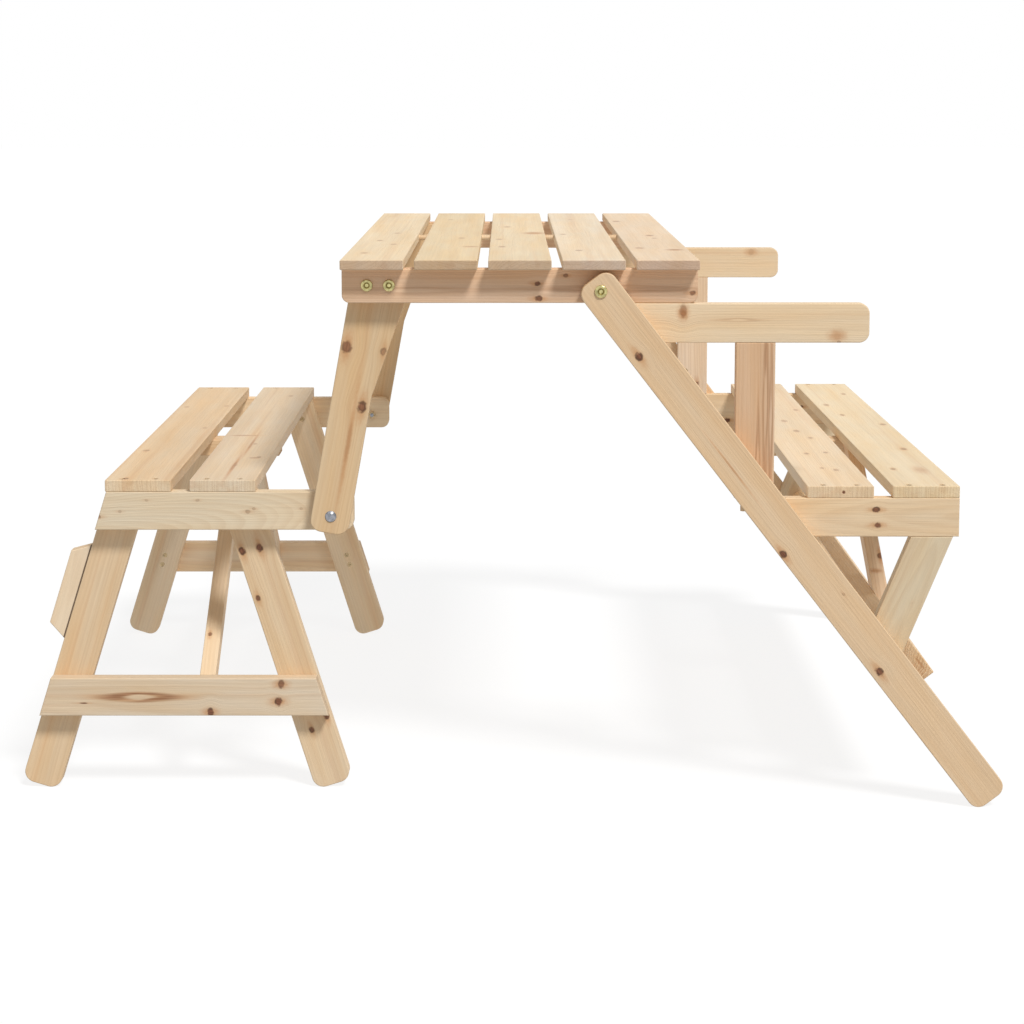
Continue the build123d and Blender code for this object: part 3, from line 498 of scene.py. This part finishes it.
class Wiring:
    """Adds nodes to a node tree and links them, so that a material reads as sums."""

    def __init__(self, tree):
        self.tree = tree

    def add(self, kind, inputs=None, **settings):
        """One node, its inputs by name or number."""
        node = self.tree.nodes.new("ShaderNode" + kind)
        for key, value in settings.items():
            setattr(node, key, value)
        for key, value in (inputs or {}).items():
            self.feed(node.inputs[key], value)
        return node

    def feed(self, socket, value):
        """Links a socket, or sets its value."""
        if isinstance(value, bpy.types.NodeSocket):
            self.tree.links.new(value, socket)
        else:
            socket.default_value = value

    def math(self, operation, *values):
        """Sum on numbers."""
        return self.add("Math", dict(enumerate(values)), operation=operation).outputs[0]

    def vector(self, operation, *values):
        """Sum on vectors."""
        node = self.add("VectorMath", dict(enumerate(values)), operation=operation)
        return node.outputs["Value" if operation in ("LENGTH", "DOT_PRODUCT") else "Vector"]

    def stretch(self, vector, scale):
        """A vector times a number."""
        return self.add("VectorMath", {0: vector, "Scale": scale}, operation="SCALE").outputs[0]

    def step(self, value, low, high):
        """0 below low, 1 above high, smooth between, or turned round when low is the higher."""
        node = self.add(
            "MapRange", {"Value": value, "From Min": low, "From Max": high},
            interpolation_type="SMOOTHSTEP",
        )
        return node.outputs[0]

    def span(self, value, low, high):
        """0 to 1 becomes low to high."""
        return self.math("MULTIPLY_ADD", value, high - low, low)

    def noise(self, vector, detail):
        """Noise about zero."""
        node = self.add("TexNoise", {"Vector": vector, "Scale": 1.0, "Detail": detail})
        return self.math("SUBTRACT", node.outputs[0], 0.5)

    def even_noise(self, place, scale, detail):
        """Noise that changes as fast in each direction."""
        return self.noise(self.stretch(place, scale), detail)

    def line_noise(self, value, scale):
        """Noise along one number, 0 to 1."""
        inputs = {"W": value, "Scale": scale, "Detail": 1.0}
        return self.add("TexNoise", inputs, noise_dimensions="1D").outputs[0]

    def mix(self, share, first, second):
        """Colour between two others."""
        node = self.add("Mix", {0: share, 6: first, 7: second}, data_type="RGBA")
        return node.outputs[2]

    def cover(self, share, part, colour, below):
        """A property's colour laid over another, as far as COVER lets it show."""
        return self.mix(self.math("MULTIPLY", share, COVER[part]), below, (*colour, 1))

    def sum_up(self, start, parts, shares):
        """A number plus a share of each named part."""
        for label, share in shares.items():
            start = self.math("MULTIPLY_ADD", parts[label], share, start)
        return start

    def seen(self):
        """1 for what the camera sees straight, mirrored or through glass, else 0."""
        path = self.add("LightPath").outputs
        seen = self.math("MAXIMUM", path["Is Camera Ray"], path["Is Glossy Ray"])
        return self.math("MAXIMUM", seen, path["Is Transmission Ray"])


def new_group(name, inputs, outputs):
    """Empty node group with its sockets, by name and kind."""
    tree = bpy.data.node_groups.new(name, "ShaderNodeTree")
    for label, kind in inputs.items():
        tree.interface.new_socket(name=label, in_out="INPUT", socket_type="NodeSocket" + kind)
    for label, kind in outputs.items():
        tree.interface.new_socket(name=label, in_out="OUTPUT", socket_type="NodeSocket" + kind)
    source = tree.nodes.new("NodeGroupInput")
    sink = tree.nodes.new("NodeGroupOutput")
    return tree, Wiring(tree), source.outputs, sink.inputs


def bend_grain(w, bent, offset, apart, shape, force):
    """Grain pushed round a mark, less the farther off: apart is the squared distance."""
    fall = w.math("EXPONENT", w.math("MULTIPLY", apart, shape["bend_reach"]))
    across = w.math("MULTIPLY", w.vector("DOT_PRODUCT", offset, (0, 1, 0)), fall)
    pull = w.add("CombineXYZ", {"Y": w.math("MULTIPLY", across, force)}).outputs[0]
    return w.vector("SUBTRACT", bent, pull)


def knot_group():
    """One knot: it bends the grain round itself and marks its heart, rim and halo."""
    shape = KNOT_SHAPE
    own = {"Place": "Vector", "Centre": "Vector", "Size": "Vector", "Strength": "Vector"}
    tree, w, given, made = new_group("Fir knot", {**own, **MARKS}, MARKS)
    offset = w.vector("SUBTRACT", given["Place"], given["Centre"])
    scaled = w.vector("DIVIDE", offset, given["Size"])
    spread = w.vector("LENGTH", scaled)
    ragged = w.even_noise(given["Place"], *shape["rag_noise"])
    reach = w.math("MULTIPLY_ADD", ragged, shape["rag"], spread)
    wing = w.vector("LENGTH", w.vector("MULTIPLY", scaled, shape["halo_stretch"]))
    wing = w.math("MULTIPLY_ADD", ragged, shape["halo_rag"], wing)
    patchy = w.even_noise(given["Place"], *shape["patch_noise"])
    heart = w.math("SUBTRACT", 1.0, w.step(reach, *shape["heart"]))
    rim_inside = w.step(reach, *shape["rim_inside"])
    rim = w.math("SUBTRACT", rim_inside, w.step(reach, *shape["rim_outside"]))
    rim = w.math("MULTIPLY", rim, w.step(patchy, *shape["patches"]))
    halo = w.math("SUBTRACT", 1.0, w.step(wing, *shape["halo"]))
    halo = w.math("POWER", halo, shape["halo_fade"])
    strong = w.add("SeparateXYZ", {0: given["Strength"]}).outputs
    for number, (label, mark) in enumerate((("Heart", heart), ("Rim", rim), ("Halo", halo))):
        mark = w.math("MULTIPLY", mark, strong[number])
        w.feed(made[label], w.math("MAXIMUM", mark, given[label]))
    force = w.math("MINIMUM", w.math("MULTIPLY", strong[0], shape["bend"]), shape["most_bend"])
    apart = w.math("POWER", spread, 2.0)
    w.feed(made["Bent"], bend_grain(w, given["Bent"], offset, apart, shape, force))
    return tree


def flame_group():
    """One flame: brown wood round a pale eye, drawn out along the grain."""
    shape = FLAME_SHAPE
    own = {"Place": "Vector", "Centre": "Vector", "Size": "Vector", "Strength": "Float"}
    tree, w, given, made = new_group("Fir flame", {**own, **MARKS}, MARKS)
    offset = w.vector("SUBTRACT", given["Place"], given["Centre"])
    part = w.add("SeparateXYZ", {0: w.vector("DIVIDE", offset, given["Size"])}).outputs
    scales, detail = shape["streak_noise"]
    streaky = w.noise(w.vector("MULTIPLY", given["Place"], scales), detail)
    along = w.math("ABSOLUTE", part[0])
    across = w.math("POWER", w.math("ABSOLUTE", part[1]), 2.0)
    reach = w.math("ADD", w.math("POWER", along, shape["point"]), across)
    reach = w.math("MULTIPLY_ADD", streaky, shape["streaks"], reach)
    ring_inside = w.step(reach, *shape["ring_inside"])
    ring = w.math("MULTIPLY", ring_inside, w.step(reach, *shape["ring_outside"]))
    tail_start = w.step(along, *shape["tail_start"])
    tail = w.math("MULTIPLY", tail_start, w.step(along, *shape["tail_end"]))
    tail_side = w.math("MULTIPLY_ADD", streaky, shape["tail_streaks"], across)
    tail = w.math("MULTIPLY", tail, w.step(tail_side, *shape["tail_side"]))
    mark = w.math("MAXIMUM", ring, tail)
    mark = w.math("MULTIPLY", mark, w.span(streaky, *shape["strength"]))
    mark = w.math("MINIMUM", w.math("MULTIPLY", mark, given["Strength"]), 1.0)
    w.feed(made["Halo"], w.math("MAXIMUM", mark, given["Halo"]))
    heart = w.math("MULTIPLY", ring, w.step(streaky, *shape["heart_streaks"]))
    heart = w.math("MULTIPLY", w.math("MULTIPLY", heart, shape["heart"]), given["Strength"])
    w.feed(made["Heart"], w.math("MAXIMUM", heart, given["Heart"]))
    w.feed(made["Rim"], given["Rim"])
    apart = w.math("ADD", across, w.math("POWER", along, 2.0))
    w.feed(made["Bent"], bend_grain(w, given["Bent"], offset, apart, shape, shape["bend"]))
    return tree


def year_lines(w, given, noise, ring_width):
    """Late wood of the growth rings that a board cuts, and how far its lines show."""
    part = w.add("SeparateXYZ", {0: given["Bent"]}).outputs
    pith = w.add("SeparateXYZ", {0: given["Pith"]}).outputs
    lean = w.math("MULTIPLY", part[0], pith[2])
    across = w.math("SUBTRACT", part[1], w.math("ADD", pith[0], lean))
    deep = w.math("SUBTRACT", part[2], w.math("ADD", pith[1], lean))
    radius = w.vector("LENGTH", w.add("CombineXYZ", {"X": across, "Y": deep}).outputs[0])
    years = w.math("DIVIDE", w.sum_up(radius, noise, STRAY), ring_width)
    uneven = w.line_noise(years, YEARS["width_pace"])
    years = w.math("MULTIPLY_ADD", uneven, YEARS["width"], years)
    season = w.math("FRACT", years)
    late_start = w.step(season, *YEARS["late_start"])
    late = w.math("SUBTRACT", late_start, w.step(season, *YEARS["late_end"]))
    good_year = w.span(w.line_noise(years, YEARS["line_pace"]), *YEARS["line"])
    line = w.math("MULTIPLY", late, w.math("MULTIPLY", good_year, given["Lines"]))
    return late, w.math("MULTIPLY", line, w.span(given["End"], *YEARS["in_end"]))


def wood_colour(w, given, noise, line, fir):
    """Colour of the sawn wood before knots and edges are laid over it."""
    colour = w.mix(line, (*fir.early_wood, 1), (*fir.late_wood, 1))
    colour = w.cover(w.step(noise["band"], *WARM_BAND), "warm", fir.halo, colour)
    colour = w.stretch(colour, w.sum_up(1.0, noise, SHADE))
    blush = w.math("MULTIPLY_ADD", noise["mottle"], BLUSH_MOTTLE, noise["blotch"])
    tints = (w.span(blush, *ends) for ends in BLUSH_TINT)
    colour = w.vector("MULTIPLY", colour, w.add("CombineXYZ", dict(enumerate(tints))).outputs[0])
    colour = w.vector("MULTIPLY", colour, given["Tone"])
    return w.mix(given["End"], colour, w.vector("MULTIPLY", colour, given["Ends"]))


def grain_group(fir):
    """Growth rings cut by a board, with fibres, knots, sawn ends and a painted highlight along its
    rounded edges.
    """
    own = {
        "Place": "Vector", "End": "Float", "Seed": "Float", "Pith": "Vector", "Half": "Vector",
        "Tone": "Color", "Ends": "Vector", "Lines": "Float",
    }
    outputs = {"Color": "Color", "Roughness": "Float", "Height": "Float"}
    tree, w, given, made = new_group("Fir grain", {**own, **MARKS}, outputs)
    shift = w.stretch(SEED_SHIFT, given["Seed"])
    noise = {}
    for label, (scales, detail) in NOISES.items():
        place = w.vector("ADD", w.vector("MULTIPLY", given["Bent"], scales), shift)
        noise[label] = w.noise(place, detail)
    late, line = year_lines(w, given, noise, fir.ring_width)
    colour = wood_colour(w, given, noise, line, fir)

    size = w.vector("ABSOLUTE", given["Place"])
    gap = w.add("SeparateXYZ", {0: w.vector("SUBTRACT", given["Half"], size)}).outputs
    # Painted highlight: early wood laid over the colour along the long edges, where the rounding
    # would catch light.
    eased = w.math("MULTIPLY", w.step(gap[1], *EDGE_HIGHLIGHT), w.step(gap[2], *EDGE_HIGHLIGHT))
    colour = w.cover(eased, "eased", fir.early_wood, colour)
    colour = w.cover(given["Halo"], "halo", fir.halo, colour)
    core = w.mix(w.step(noise["speck"], *FLECKS), (*fir.knot, 1), (*fir.knot_light, 1))
    colour = w.mix(w.math("MULTIPLY", given["Heart"], COVER["heart"]), colour, core)
    # The rim mark carries both the knots' dark rims and the painted seam shadow.
    w.feed(made["Color"], w.cover(given["Rim"], "rim", fir.knot_rim_and_seam_shadow, colour))

    parts = {
        **noise, "late": late, "end": given["End"], "heart": given["Heart"], "rim": given["Rim"],
        "end pore": w.math("MULTIPLY", noise["pore"], given["End"]),
    }
    w.feed(made["Roughness"], w.sum_up(PLAIN_ROUGHNESS, parts, ROUGHNESS))
    w.feed(made["Height"], w.sum_up(0.0, parts, HEIGHT))
    return tree


def board_frame(node):
    """Middle, turn and half sizes of a board: along, across and through its thickness.

    The widest faces give the thickness and the long edges give the width.
    """
    mesh = node.data
    normals = np.zeros(3 * len(mesh.polygons))
    areas = np.zeros(len(mesh.polygons))
    mesh.polygons.foreach_get("normal", normals)
    mesh.polygons.foreach_get("area", areas)
    normals = normals.reshape(-1, 3)
    main_part = np.abs(normals).argmax(axis=1)
    normals *= np.sign(normals[np.arange(len(normals)), main_part])[:, None]

    def widest(chosen):
        kinds, which = np.unique(normals[chosen].round(3), axis=0, return_inverse=True)
        found = kinds[np.bincount(which.ravel(), areas[chosen]).argmax()]
        return found / np.linalg.norm(found)

    through = widest(areas > 0)
    edge = widest(np.abs(normals @ through) < SQUARE)
    along = np.cross(edge, through)
    along *= np.sign(along[np.abs(along).argmax()])
    turn = np.array([along, np.cross(through, along), through])
    points = np.zeros(3 * len(mesh.vertices))
    mesh.vertices.foreach_get("co", points)
    points = points.reshape(-1, 3) @ turn.T
    low, high = points.min(axis=0), points.max(axis=0)
    middle = (low + high) / 2 @ turn
    return Vector(middle), Matrix(turn.tolist()), Vector((high - low) / 2)


def dress(names, material_of):
    """Gives CAD nodes their material."""
    for name in names:
        for slot in NODES[name].material_slots:
            slot.material = material_of(name)


def named(*starts):
    """CAD nodes whose names start with one of these words."""
    return [name for name in sorted(NODES) if name.startswith(starts)]


def shared_group(name, make):
    """A node group, made the first time that it is asked for."""
    return bpy.data.node_groups.get(name) or make()


def blank_wiring(data):
    """Wiring of a material or a world, emptied first."""
    data.use_nodes = True
    data.node_tree.nodes.clear()
    return Wiring(data.node_tree)


def board_knots(name, half, fir):
    """Knots of a board: those that stand out, slanting branch wood, and a few small ones."""
    dice = Random(name)
    knots = []
    for along, across, radius, force in KNOTS.get(name, []):
        size = (radius * fir.knot_length, radius, THROUGH)
        shows = (force, force * KNOT_FORCE["rim"], min(1.0, force * KNOT_FORCE["halo"]))
        knots.append(((along, across, 0), size, shows))
    knots += SPIKES.get(name, [])
    spare = 0 if name in KNOTS else SPARE_KNOTS["most"]
    for _ in range(min(spare, int(half[0] / SPARE_KNOTS["room"]))):
        radius = dice.uniform(*SPARE_KNOTS["radius"])
        along = dice.uniform(-SPARE_KNOTS["along"], SPARE_KNOTS["along"]) * half[0]
        across = dice.uniform(-SPARE_KNOTS["across"], SPARE_KNOTS["across"]) * half[1]
        size = (radius * fir.knot_length, radius, dice.uniform(*SPARE_KNOTS["through"]))
        force = dice.uniform(*SPARE_KNOTS["force"])
        knots.append(((along, across, 0), size, (force, force * KNOT_FORCE["spare_rim"], force)))
    return knots


def board_marks(w, name, place, half, fir):
    """Painted seam shadow, knots and flames of a board, each laid over the ones before."""
    state = {"Bent": place, "Heart": 0.0, "Rim": 0.0, "Halo": 0.0}
    # Painted shadow: the knot rim's dark colour along the side that meets the leg stands in for the
    # shade in the gap.
    if name.startswith(SEAM_SHADOWS):
        side = w.add("SeparateXYZ", {0: place}).outputs[1]
        state["Rim"] = w.step(side, *(half[1] - inset for inset in SEAM_SHADOW_EDGE))
    figures = [("Fir knot", knot_group, *knot) for knot in board_knots(name, half, fir)]
    for along, across, length, width, force in FLAMES.get(name, []):
        size = (length, width, THROUGH)
        figures.append(("Fir flame", flame_group, (along, across, 0), size, force))
    for label, make, centre, size, strength in figures:
        known = {"Place": place, "Centre": centre, "Size": size, "Strength": strength, **state}
        figure = w.add("Group", known, node_tree=shared_group(label, make))
        state = {mark: figure.outputs[mark] for mark in MARKS}
    return state


def random_pith(dice, cut):
    """Where one board's pith lies, across and through, and how far it drifts."""
    across, deep, drift = CUTS[cut]
    return (
        dice.choice((-1, 1)) * across + dice.uniform(*PITH_SPREAD) * across,
        dice.choice((-1, 1)) * deep,
        drift * dice.uniform(*DRIFTS) * dice.choice((-1, 1)),
    )


def fir_board(name):
    """Planed fir for one board, its rings and knots in the board's own directions."""
    fir = bpy.context.scene.picnic_fir
    cut, tone, lines = BOARDS[max((kind for kind in BOARDS if name.startswith(kind)), key=len)]
    middle, turn, half = board_frame(NODES[name])
    dice = Random(name + cut)
    material = bpy.data.materials.new("fir " + name)
    w = blank_wiring(material)
    spot = w.add("TexCoord").outputs
    turned = turn.transposed().to_euler()
    own_axes = {"Vector": spot["Object"], "Location": middle, "Rotation": turned}
    place = w.add("Mapping", own_axes, vector_type="TEXTURE").outputs[0]
    facing = w.vector("DOT_PRODUCT", spot["Normal"], tuple(turn[0]))
    known = board_marks(w, name, place, half, fir)
    known["Place"] = place
    known["End"] = w.step(w.math("ABSOLUTE", facing), *END_FACING)
    known["Pith"] = random_pith(dice, cut)
    light = dice.uniform(*LIGHTS)
    known["Tone"] = (*(light * share for share in tone), 1)
    known["Seed"] = dice.uniform(*SEEDS)
    known["Half"] = half
    known["Lines"] = fir.line_strength * lines
    tint = next((ENDS[kind] for kind in ENDS if name.startswith(kind)), (1, 1, 1))
    known["Ends"] = Vector(fir.end_grain) * Vector(tint)
    grain = w.add("Group", known, node_tree=shared_group("Fir grain", lambda: grain_group(fir)))
    height = {"Height": grain.outputs["Height"], "Distance": fir.relief, "Strength": 1.0}
    looks = {
        "Base Color": grain.outputs["Color"],
        "Roughness": grain.outputs["Roughness"],
        "Normal": w.add("Bump", height).outputs[0],
        "Specular IOR Level": SPECULAR,
    }
    w.add("OutputMaterial", {"Surface": w.add("BsdfPrincipled", looks).outputs[0]})
    return material


def zinc(label, colour):
    """Plated steel with a faint uneven sheen."""
    found = bpy.data.materials.get(label)
    if found:
        return found
    material = bpy.data.materials.new(label)
    w = blank_wiring(material)
    place = w.add("TexCoord").outputs["Object"]
    cloud = w.even_noise(place, *ZINC_CLOUD)
    grit = w.even_noise(place, *ZINC_GRIT)
    plain = bpy.context.scene.picnic_zinc.roughness
    height = {"Height": grit, "Distance": GRIT_DEPTH, "Strength": 1.0}
    looks = {
        "Base Color": w.stretch(tuple(colour), w.math("MULTIPLY_ADD", cloud, CLOUD_SHADE, 1.0)),
        "Roughness": w.math("MULTIPLY_ADD", cloud, CLOUD_ROUGHNESS, plain),
        "Normal": w.add("Bump", height).outputs[0],
        "Metallic": 1.0,
    }
    w.add("OutputMaterial", {"Surface": w.add("BsdfPrincipled", looks).outputs[0]})
    return material


# Outline of a flat bolt head from its rim to the bottom of its socket: radius as a share of the
# head's, height as a share of the head's, whether the ring is six-sided, and whether its faces take
# the painted socket shade.
FLAT_HEAD = (
    (0.950, 0.00, False, False),
    (1.000, 0.10, False, False),
    (1.000, 0.55, False, False),
    (0.985, 0.72, False, False),
    (0.940, 0.88, False, False),
    (0.870, 0.97, False, False),
    (0.780, 1.00, False, False),
    (0.620, 1.00, False, False),
    (0.560, 0.95, False, False),
    (0.500, 0.84, False, True),
    (0.440, 0.78, True, True),
    (0.405, 0.70, True, True),
    (0.390, 0.20, True, True),
    (0.300, 0.12, False, True),
    (0.180, 0.10, False, False),
)
STEPS_ROUND = 48
HEAD_HEIGHT = 0.0025

# Radius of the two kinds of shank in metres, and a shank's narrower tip in shares of its radius.
PIVOT_SHANK = 0.004
ARM_SHANK = 0.003
TIP_RADIUS = 0.84
TIP_LENGTH = 0.2

# A node that is wider than this many head radii holds two bolts side by side.
ONE_BOLT = 3


def ring_radius(radius, angle, six_sided):
    """Distance from the axis to a round or six-sided ring."""
    if not six_sided:
        return radius
    slice_angle = radians(60)
    return radius * cos(slice_angle / 2) / cos(angle % slice_angle - slice_angle / 2)


def bolt_ring(mesh, axis, radius, y, six_sided):
    """One ring of points round a bolt's axis."""
    ring = []
    for step in range(STEPS_ROUND):
        angle = radians(360) * step / STEPS_ROUND
        reach = ring_radius(radius, angle, six_sided)
        ring.append(mesh.verts.new((axis[0] + reach * cos(angle), y, axis[1] + reach * sin(angle))))
    return ring


def flat_bolt(mesh, axis, tip, end, head, shank, outward):
    """Adds one bolt along Y: shank, flat head and socket."""
    base = tip - outward * HEAD_HEIGHT
    outline = [
        (shank * TIP_RADIUS, end, False, False),
        (shank, end + outward * shank * TIP_LENGTH, False, False),
        (shank, base, False, False),
    ]
    for radius, height, six_sided, painted_socket_shade in FLAT_HEAD:
        y = base + outward * HEAD_HEIGHT * height
        outline.append((head * radius, y, six_sided, painted_socket_shade))
    rings = [bolt_ring(mesh, axis, radius, y, six_sided) for radius, y, six_sided, _ in outline]
    for number in range(1, len(rings)):
        low, high = rings[number - 1], rings[number]
        for step in range(STEPS_ROUND):
            after = (step + 1) % STEPS_ROUND
            face = mesh.faces.new((low[step], low[after], high[after], high[step]))
            face.smooth = True
            # Faces inside the socket take the second material, the painted socket shade.
            face.material_index = int(outline[number][3])
    mesh.faces.new(rings[0])
    mesh.faces.new(rings[-1])


def flat_bolts(name, shank, outward):
    """Replaces the flat-headed bolts of a node, each where the CAD has it."""
    finish = bpy.context.scene.picnic_zinc
    low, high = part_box(name)
    head = (high[2] - low[2]) / 2
    tip, end = (low[1], high[1]) if outward < 0 else (high[1], low[1])
    mesh = bmesh.new()
    places = [low[0] + head]
    if high[0] - low[0] > ONE_BOLT * head:
        places.append(high[0] - head)
    for across in places:
        flat_bolt(mesh, (across, low[2] + head), tip, end, head, shank, outward)
    bmesh.ops.recalc_face_normals(mesh, faces=mesh.faces)
    data = bpy.data.meshes.new(name + "_turned")
    mesh.to_mesh(data)
    mesh.free()
    data.materials.append(zinc("yellow zinc", finish.yellow))
    # The second material is the painted shade inside each socket.
    data.materials.append(zinc("shaded zinc", finish.painted_socket_shade))
    bolts = bpy.data.objects.new(name + "_turned", data)
    bpy.context.scene.collection.objects.link(bolts)
    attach(bolts, NODES[name]["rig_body"])
    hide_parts(name)


class PICNIC_OT_frame_boards(bpy.types.Operator):
    """Legs, armrests, posts, rails, braces and stretcher of the fixed frame"""

    bl_idname = "picnic.frame_boards"
    bl_label = "Fixed frame boards"

    def execute(self, context):
        dress(named("long_leg", "armrest"), fir_board)
        dress(named("frame_seat_rail", "frame_seat_batten"), fir_board)
        dress(named("frame_brace", "frame_stretcher", "frame_strut"), fir_board)
        return {"FINISHED"}


class PICNIC_OT_seat_slats(bpy.types.Operator):
    """Slats of both seats, with upright rings in their ends"""

    bl_idname = "picnic.seat_slats"
    bl_label = "Seat slats"

    def execute(self, context):
        dress(named("frame_seat_slat", "bench_seat_slat"), fir_board)
        return {"FINISHED"}


class PICNIC_OT_table_top(bpy.types.Operator):
    """Slats and rails of the top, and the thin dowel through its slats"""

    bl_idname = "picnic.table_top"
    bl_label = "Table top"

    def execute(self, context):
        dress([f"table_slat_{number}" for number in range(1, 6)], fir_board)
        dress(named("table_rail", "table_spine_dowel"), fir_board)
        return {"FINISHED"}


class PICNIC_OT_link_arms(bpy.types.Operator):
    """Arms that carry the moving bench"""

    bl_idname = "picnic.link_arms"
    bl_label = "Link arms"

    def execute(self, context):
        dress(["link_arm_front", "link_arm_rear"], fir_board)
        return {"FINISHED"}


class PICNIC_OT_bench_boards(bpy.types.Operator):
    """Legs, rails, crossbars, struts and stop blocks of the moving bench"""

    bl_idname = "picnic.bench_boards"
    bl_label = "Moving bench boards"

    def execute(self, context):
        dress(named("bench_leg", "bench_crossbar", "bench_stop_block", "bench_strut"), fir_board)
        dress(named("bench_seat_rail", "bench_seat_batten"), fir_board)
        return {"FINISHED"}


class PICNIC_OT_dowels(bpy.types.Operator):
    """Round pins hidden in the joints"""

    bl_idname = "picnic.dowels"
    bl_label = "Dowels"

    def execute(self, context):
        dress(["frame_dowels", "table_slat_dowels"], fir_board)
        return {"FINISHED"}


class PICNIC_OT_flat_bolts(bpy.types.Operator):
    """Yellow bolts with a flat head and a hexagonal socket"""

    bl_idname = "picnic.flat_bolts"
    bl_label = "Flat-headed bolts"

    def execute(self, context):
        for side, outward in (("front", -1), ("rear", 1)):
            flat_bolts("table_pivot_bolt_" + side, PIVOT_SHANK, outward)
            flat_bolts("link_arm_bolts_" + side, ARM_SHANK, outward)
        return {"FINISHED"}


class PICNIC_OT_fasteners(bpy.types.Operator):
    """Domed bolts, nuts, washers, threaded inserts and screws"""

    bl_idname = "picnic.fasteners"
    bl_label = "Other fasteners"

    def execute(self, context):
        finish = context.scene.picnic_zinc
        bright = [n for n in named("bench_pivot") if "nuts" not in n]
        dress(bright, lambda n: zinc("bright zinc", finish.bright))
        yellow = ["table_pivot_nuts", "table_pivot_washers", "link_arm_inserts"]
        dress(yellow, lambda n: zinc("yellow zinc", finish.yellow))
        dull = ["frame_screws", "bench_screws", "bench_pivot_nuts"]
        dress(dull, lambda n: zinc("dull zinc", finish.sunk))
        return {"FINISHED"}


class PICNIC_OT_studio(bpy.types.Operator):
    """Pale floor, even sky, one high lamp and the camera"""

    bl_idname = "picnic.studio"
    bl_label = "Studio"

    def execute(self, context):
        setup = context.scene.picnic_studio
        self.floor(context, setup)
        self.sky(context, setup)
        self.lamp(context, "high lamp", setup.key, setup.key_side, setup.key_size)
        camera = bpy.data.cameras.new("camera")
        camera.lens = setup.camera_lens
        camera.shift_x, camera.shift_y = setup.camera_shift
        camera.clip_end = FAR_END
        stand = bpy.data.objects.new("camera", camera)
        stand.location = setup.camera_place
        stand.rotation_euler = (radians(90) - setup.camera_pitch, 0, 0)
        context.scene.collection.objects.link(stand)
        context.scene.camera = stand
        context.scene.view_settings.view_transform = "Standard"
        return {"FINISHED"}

    def lamp(self, context, label, strength, side, size):
        """Even parallel light from one side."""
        lamp = bpy.data.lights.new(label, "SUN")
        lamp.energy = strength
        lamp.angle = size
        holder = bpy.data.objects.new(label, lamp)
        holder.rotation_euler = Vector(side).to_track_quat("Z", "Y").to_euler()
        context.scene.collection.objects.link(holder)

    def floor(self, context, setup):
        """Flat floor that the camera sees as white where nothing shades it, and that glows as
        painted light onto the table.
        """
        mesh = bpy.data.meshes.new("floor")
        size = setup.floor_size
        corners = [(-size, -size, 0), (size, -size, 0), (size, size, 0), (-size, size, 0)]
        mesh.from_pydata(corners, [], [(0, 1, 2, 3)])
        floor = bpy.data.objects.new("floor", mesh)
        context.scene.collection.objects.link(floor)
        material = bpy.data.materials.new("pale floor")
        w = blank_wiring(material)
        seen = w.seen()
        grey = w.span(seen, setup.floor_grey, setup.floor_shade)
        matt = w.add("BsdfDiffuse", {"Color": w.stretch((1, 1, 1), grey)})
        # The floor glows for all rays but the camera's: painted light that lights the table from
        # below.
        white = w.span(seen, setup.floor_glow, FLOOR_WHITE - setup.floor_shade)
        glow = w.add("Emission", {"Color": (1, 1, 1, 1), "Strength": white})
        both = w.add("AddShader", {0: matt.outputs[0], 1: glow.outputs[0]})
        w.add("OutputMaterial", {"Surface": both.outputs[0]})
        mesh.materials.append(material)

    def sky(self, context, setup):
        """Even light that shows as white to the camera."""
        world = bpy.data.worlds.new("sky")
        w = blank_wiring(world)
        even = w.add("Background", {"Color": (1, 1, 1, 1), "Strength": setup.sky})
        white = w.add("Background", {"Color": (1, 1, 1, 1), "Strength": 1.0})
        both = w.add("MixShader", {0: w.seen(), 1: even.outputs[0], 2: white.outputs[0]})
        w.add("OutputWorld", {"Surface": both.outputs[0]})
        context.scene.world = world


OPERATORS = (
    PICNIC_OT_frame_boards,
    PICNIC_OT_seat_slats,
    PICNIC_OT_table_top,
    PICNIC_OT_link_arms,
    PICNIC_OT_bench_boards,
    PICNIC_OT_dowels,
    PICNIC_OT_flat_bolts,
    PICNIC_OT_fasteners,
    PICNIC_OT_studio,
)


class PICNIC_PT_panel(bpy.types.Panel):
    """Lists the table's finishes and its steps"""

    bl_idname = "PICNIC_PT_panel"
    bl_label = "Picnic Table"
    bl_space_type = "VIEW_3D"
    bl_region_type = "UI"
    bl_category = "Picnic Table"

    def draw(self, context):
        scene = context.scene
        for settings in (scene.picnic_fir, scene.picnic_zinc, scene.picnic_studio):
            box = self.layout.box()
            for label in settings.__annotations__:
                box.prop(settings, label)
        for operator in OPERATORS:
            self.layout.operator(operator.bl_idname)


CLASSES = (FirFinish, ZincFinish, StudioSetup, *OPERATORS, PICNIC_PT_panel)


def register():
    for item in CLASSES:
        bpy.utils.register_class(item)
    bpy.types.Scene.picnic_fir = bpy.props.PointerProperty(type=FirFinish)
    bpy.types.Scene.picnic_zinc = bpy.props.PointerProperty(type=ZincFinish)
    bpy.types.Scene.picnic_studio = bpy.props.PointerProperty(type=StudioSetup)


def unregister():
    for label in ("picnic_fir", "picnic_zinc", "picnic_studio"):
        delattr(bpy.types.Scene, label)
    for item in reversed(CLASSES):
        bpy.utils.unregister_class(item)


def main():
    """Runs every step."""
    register()
    for operator in OPERATORS:
        step = operator.bl_idname.split(".")[1]
        getattr(bpy.ops.picnic, step)()


if __name__ == "__main__":
    main()
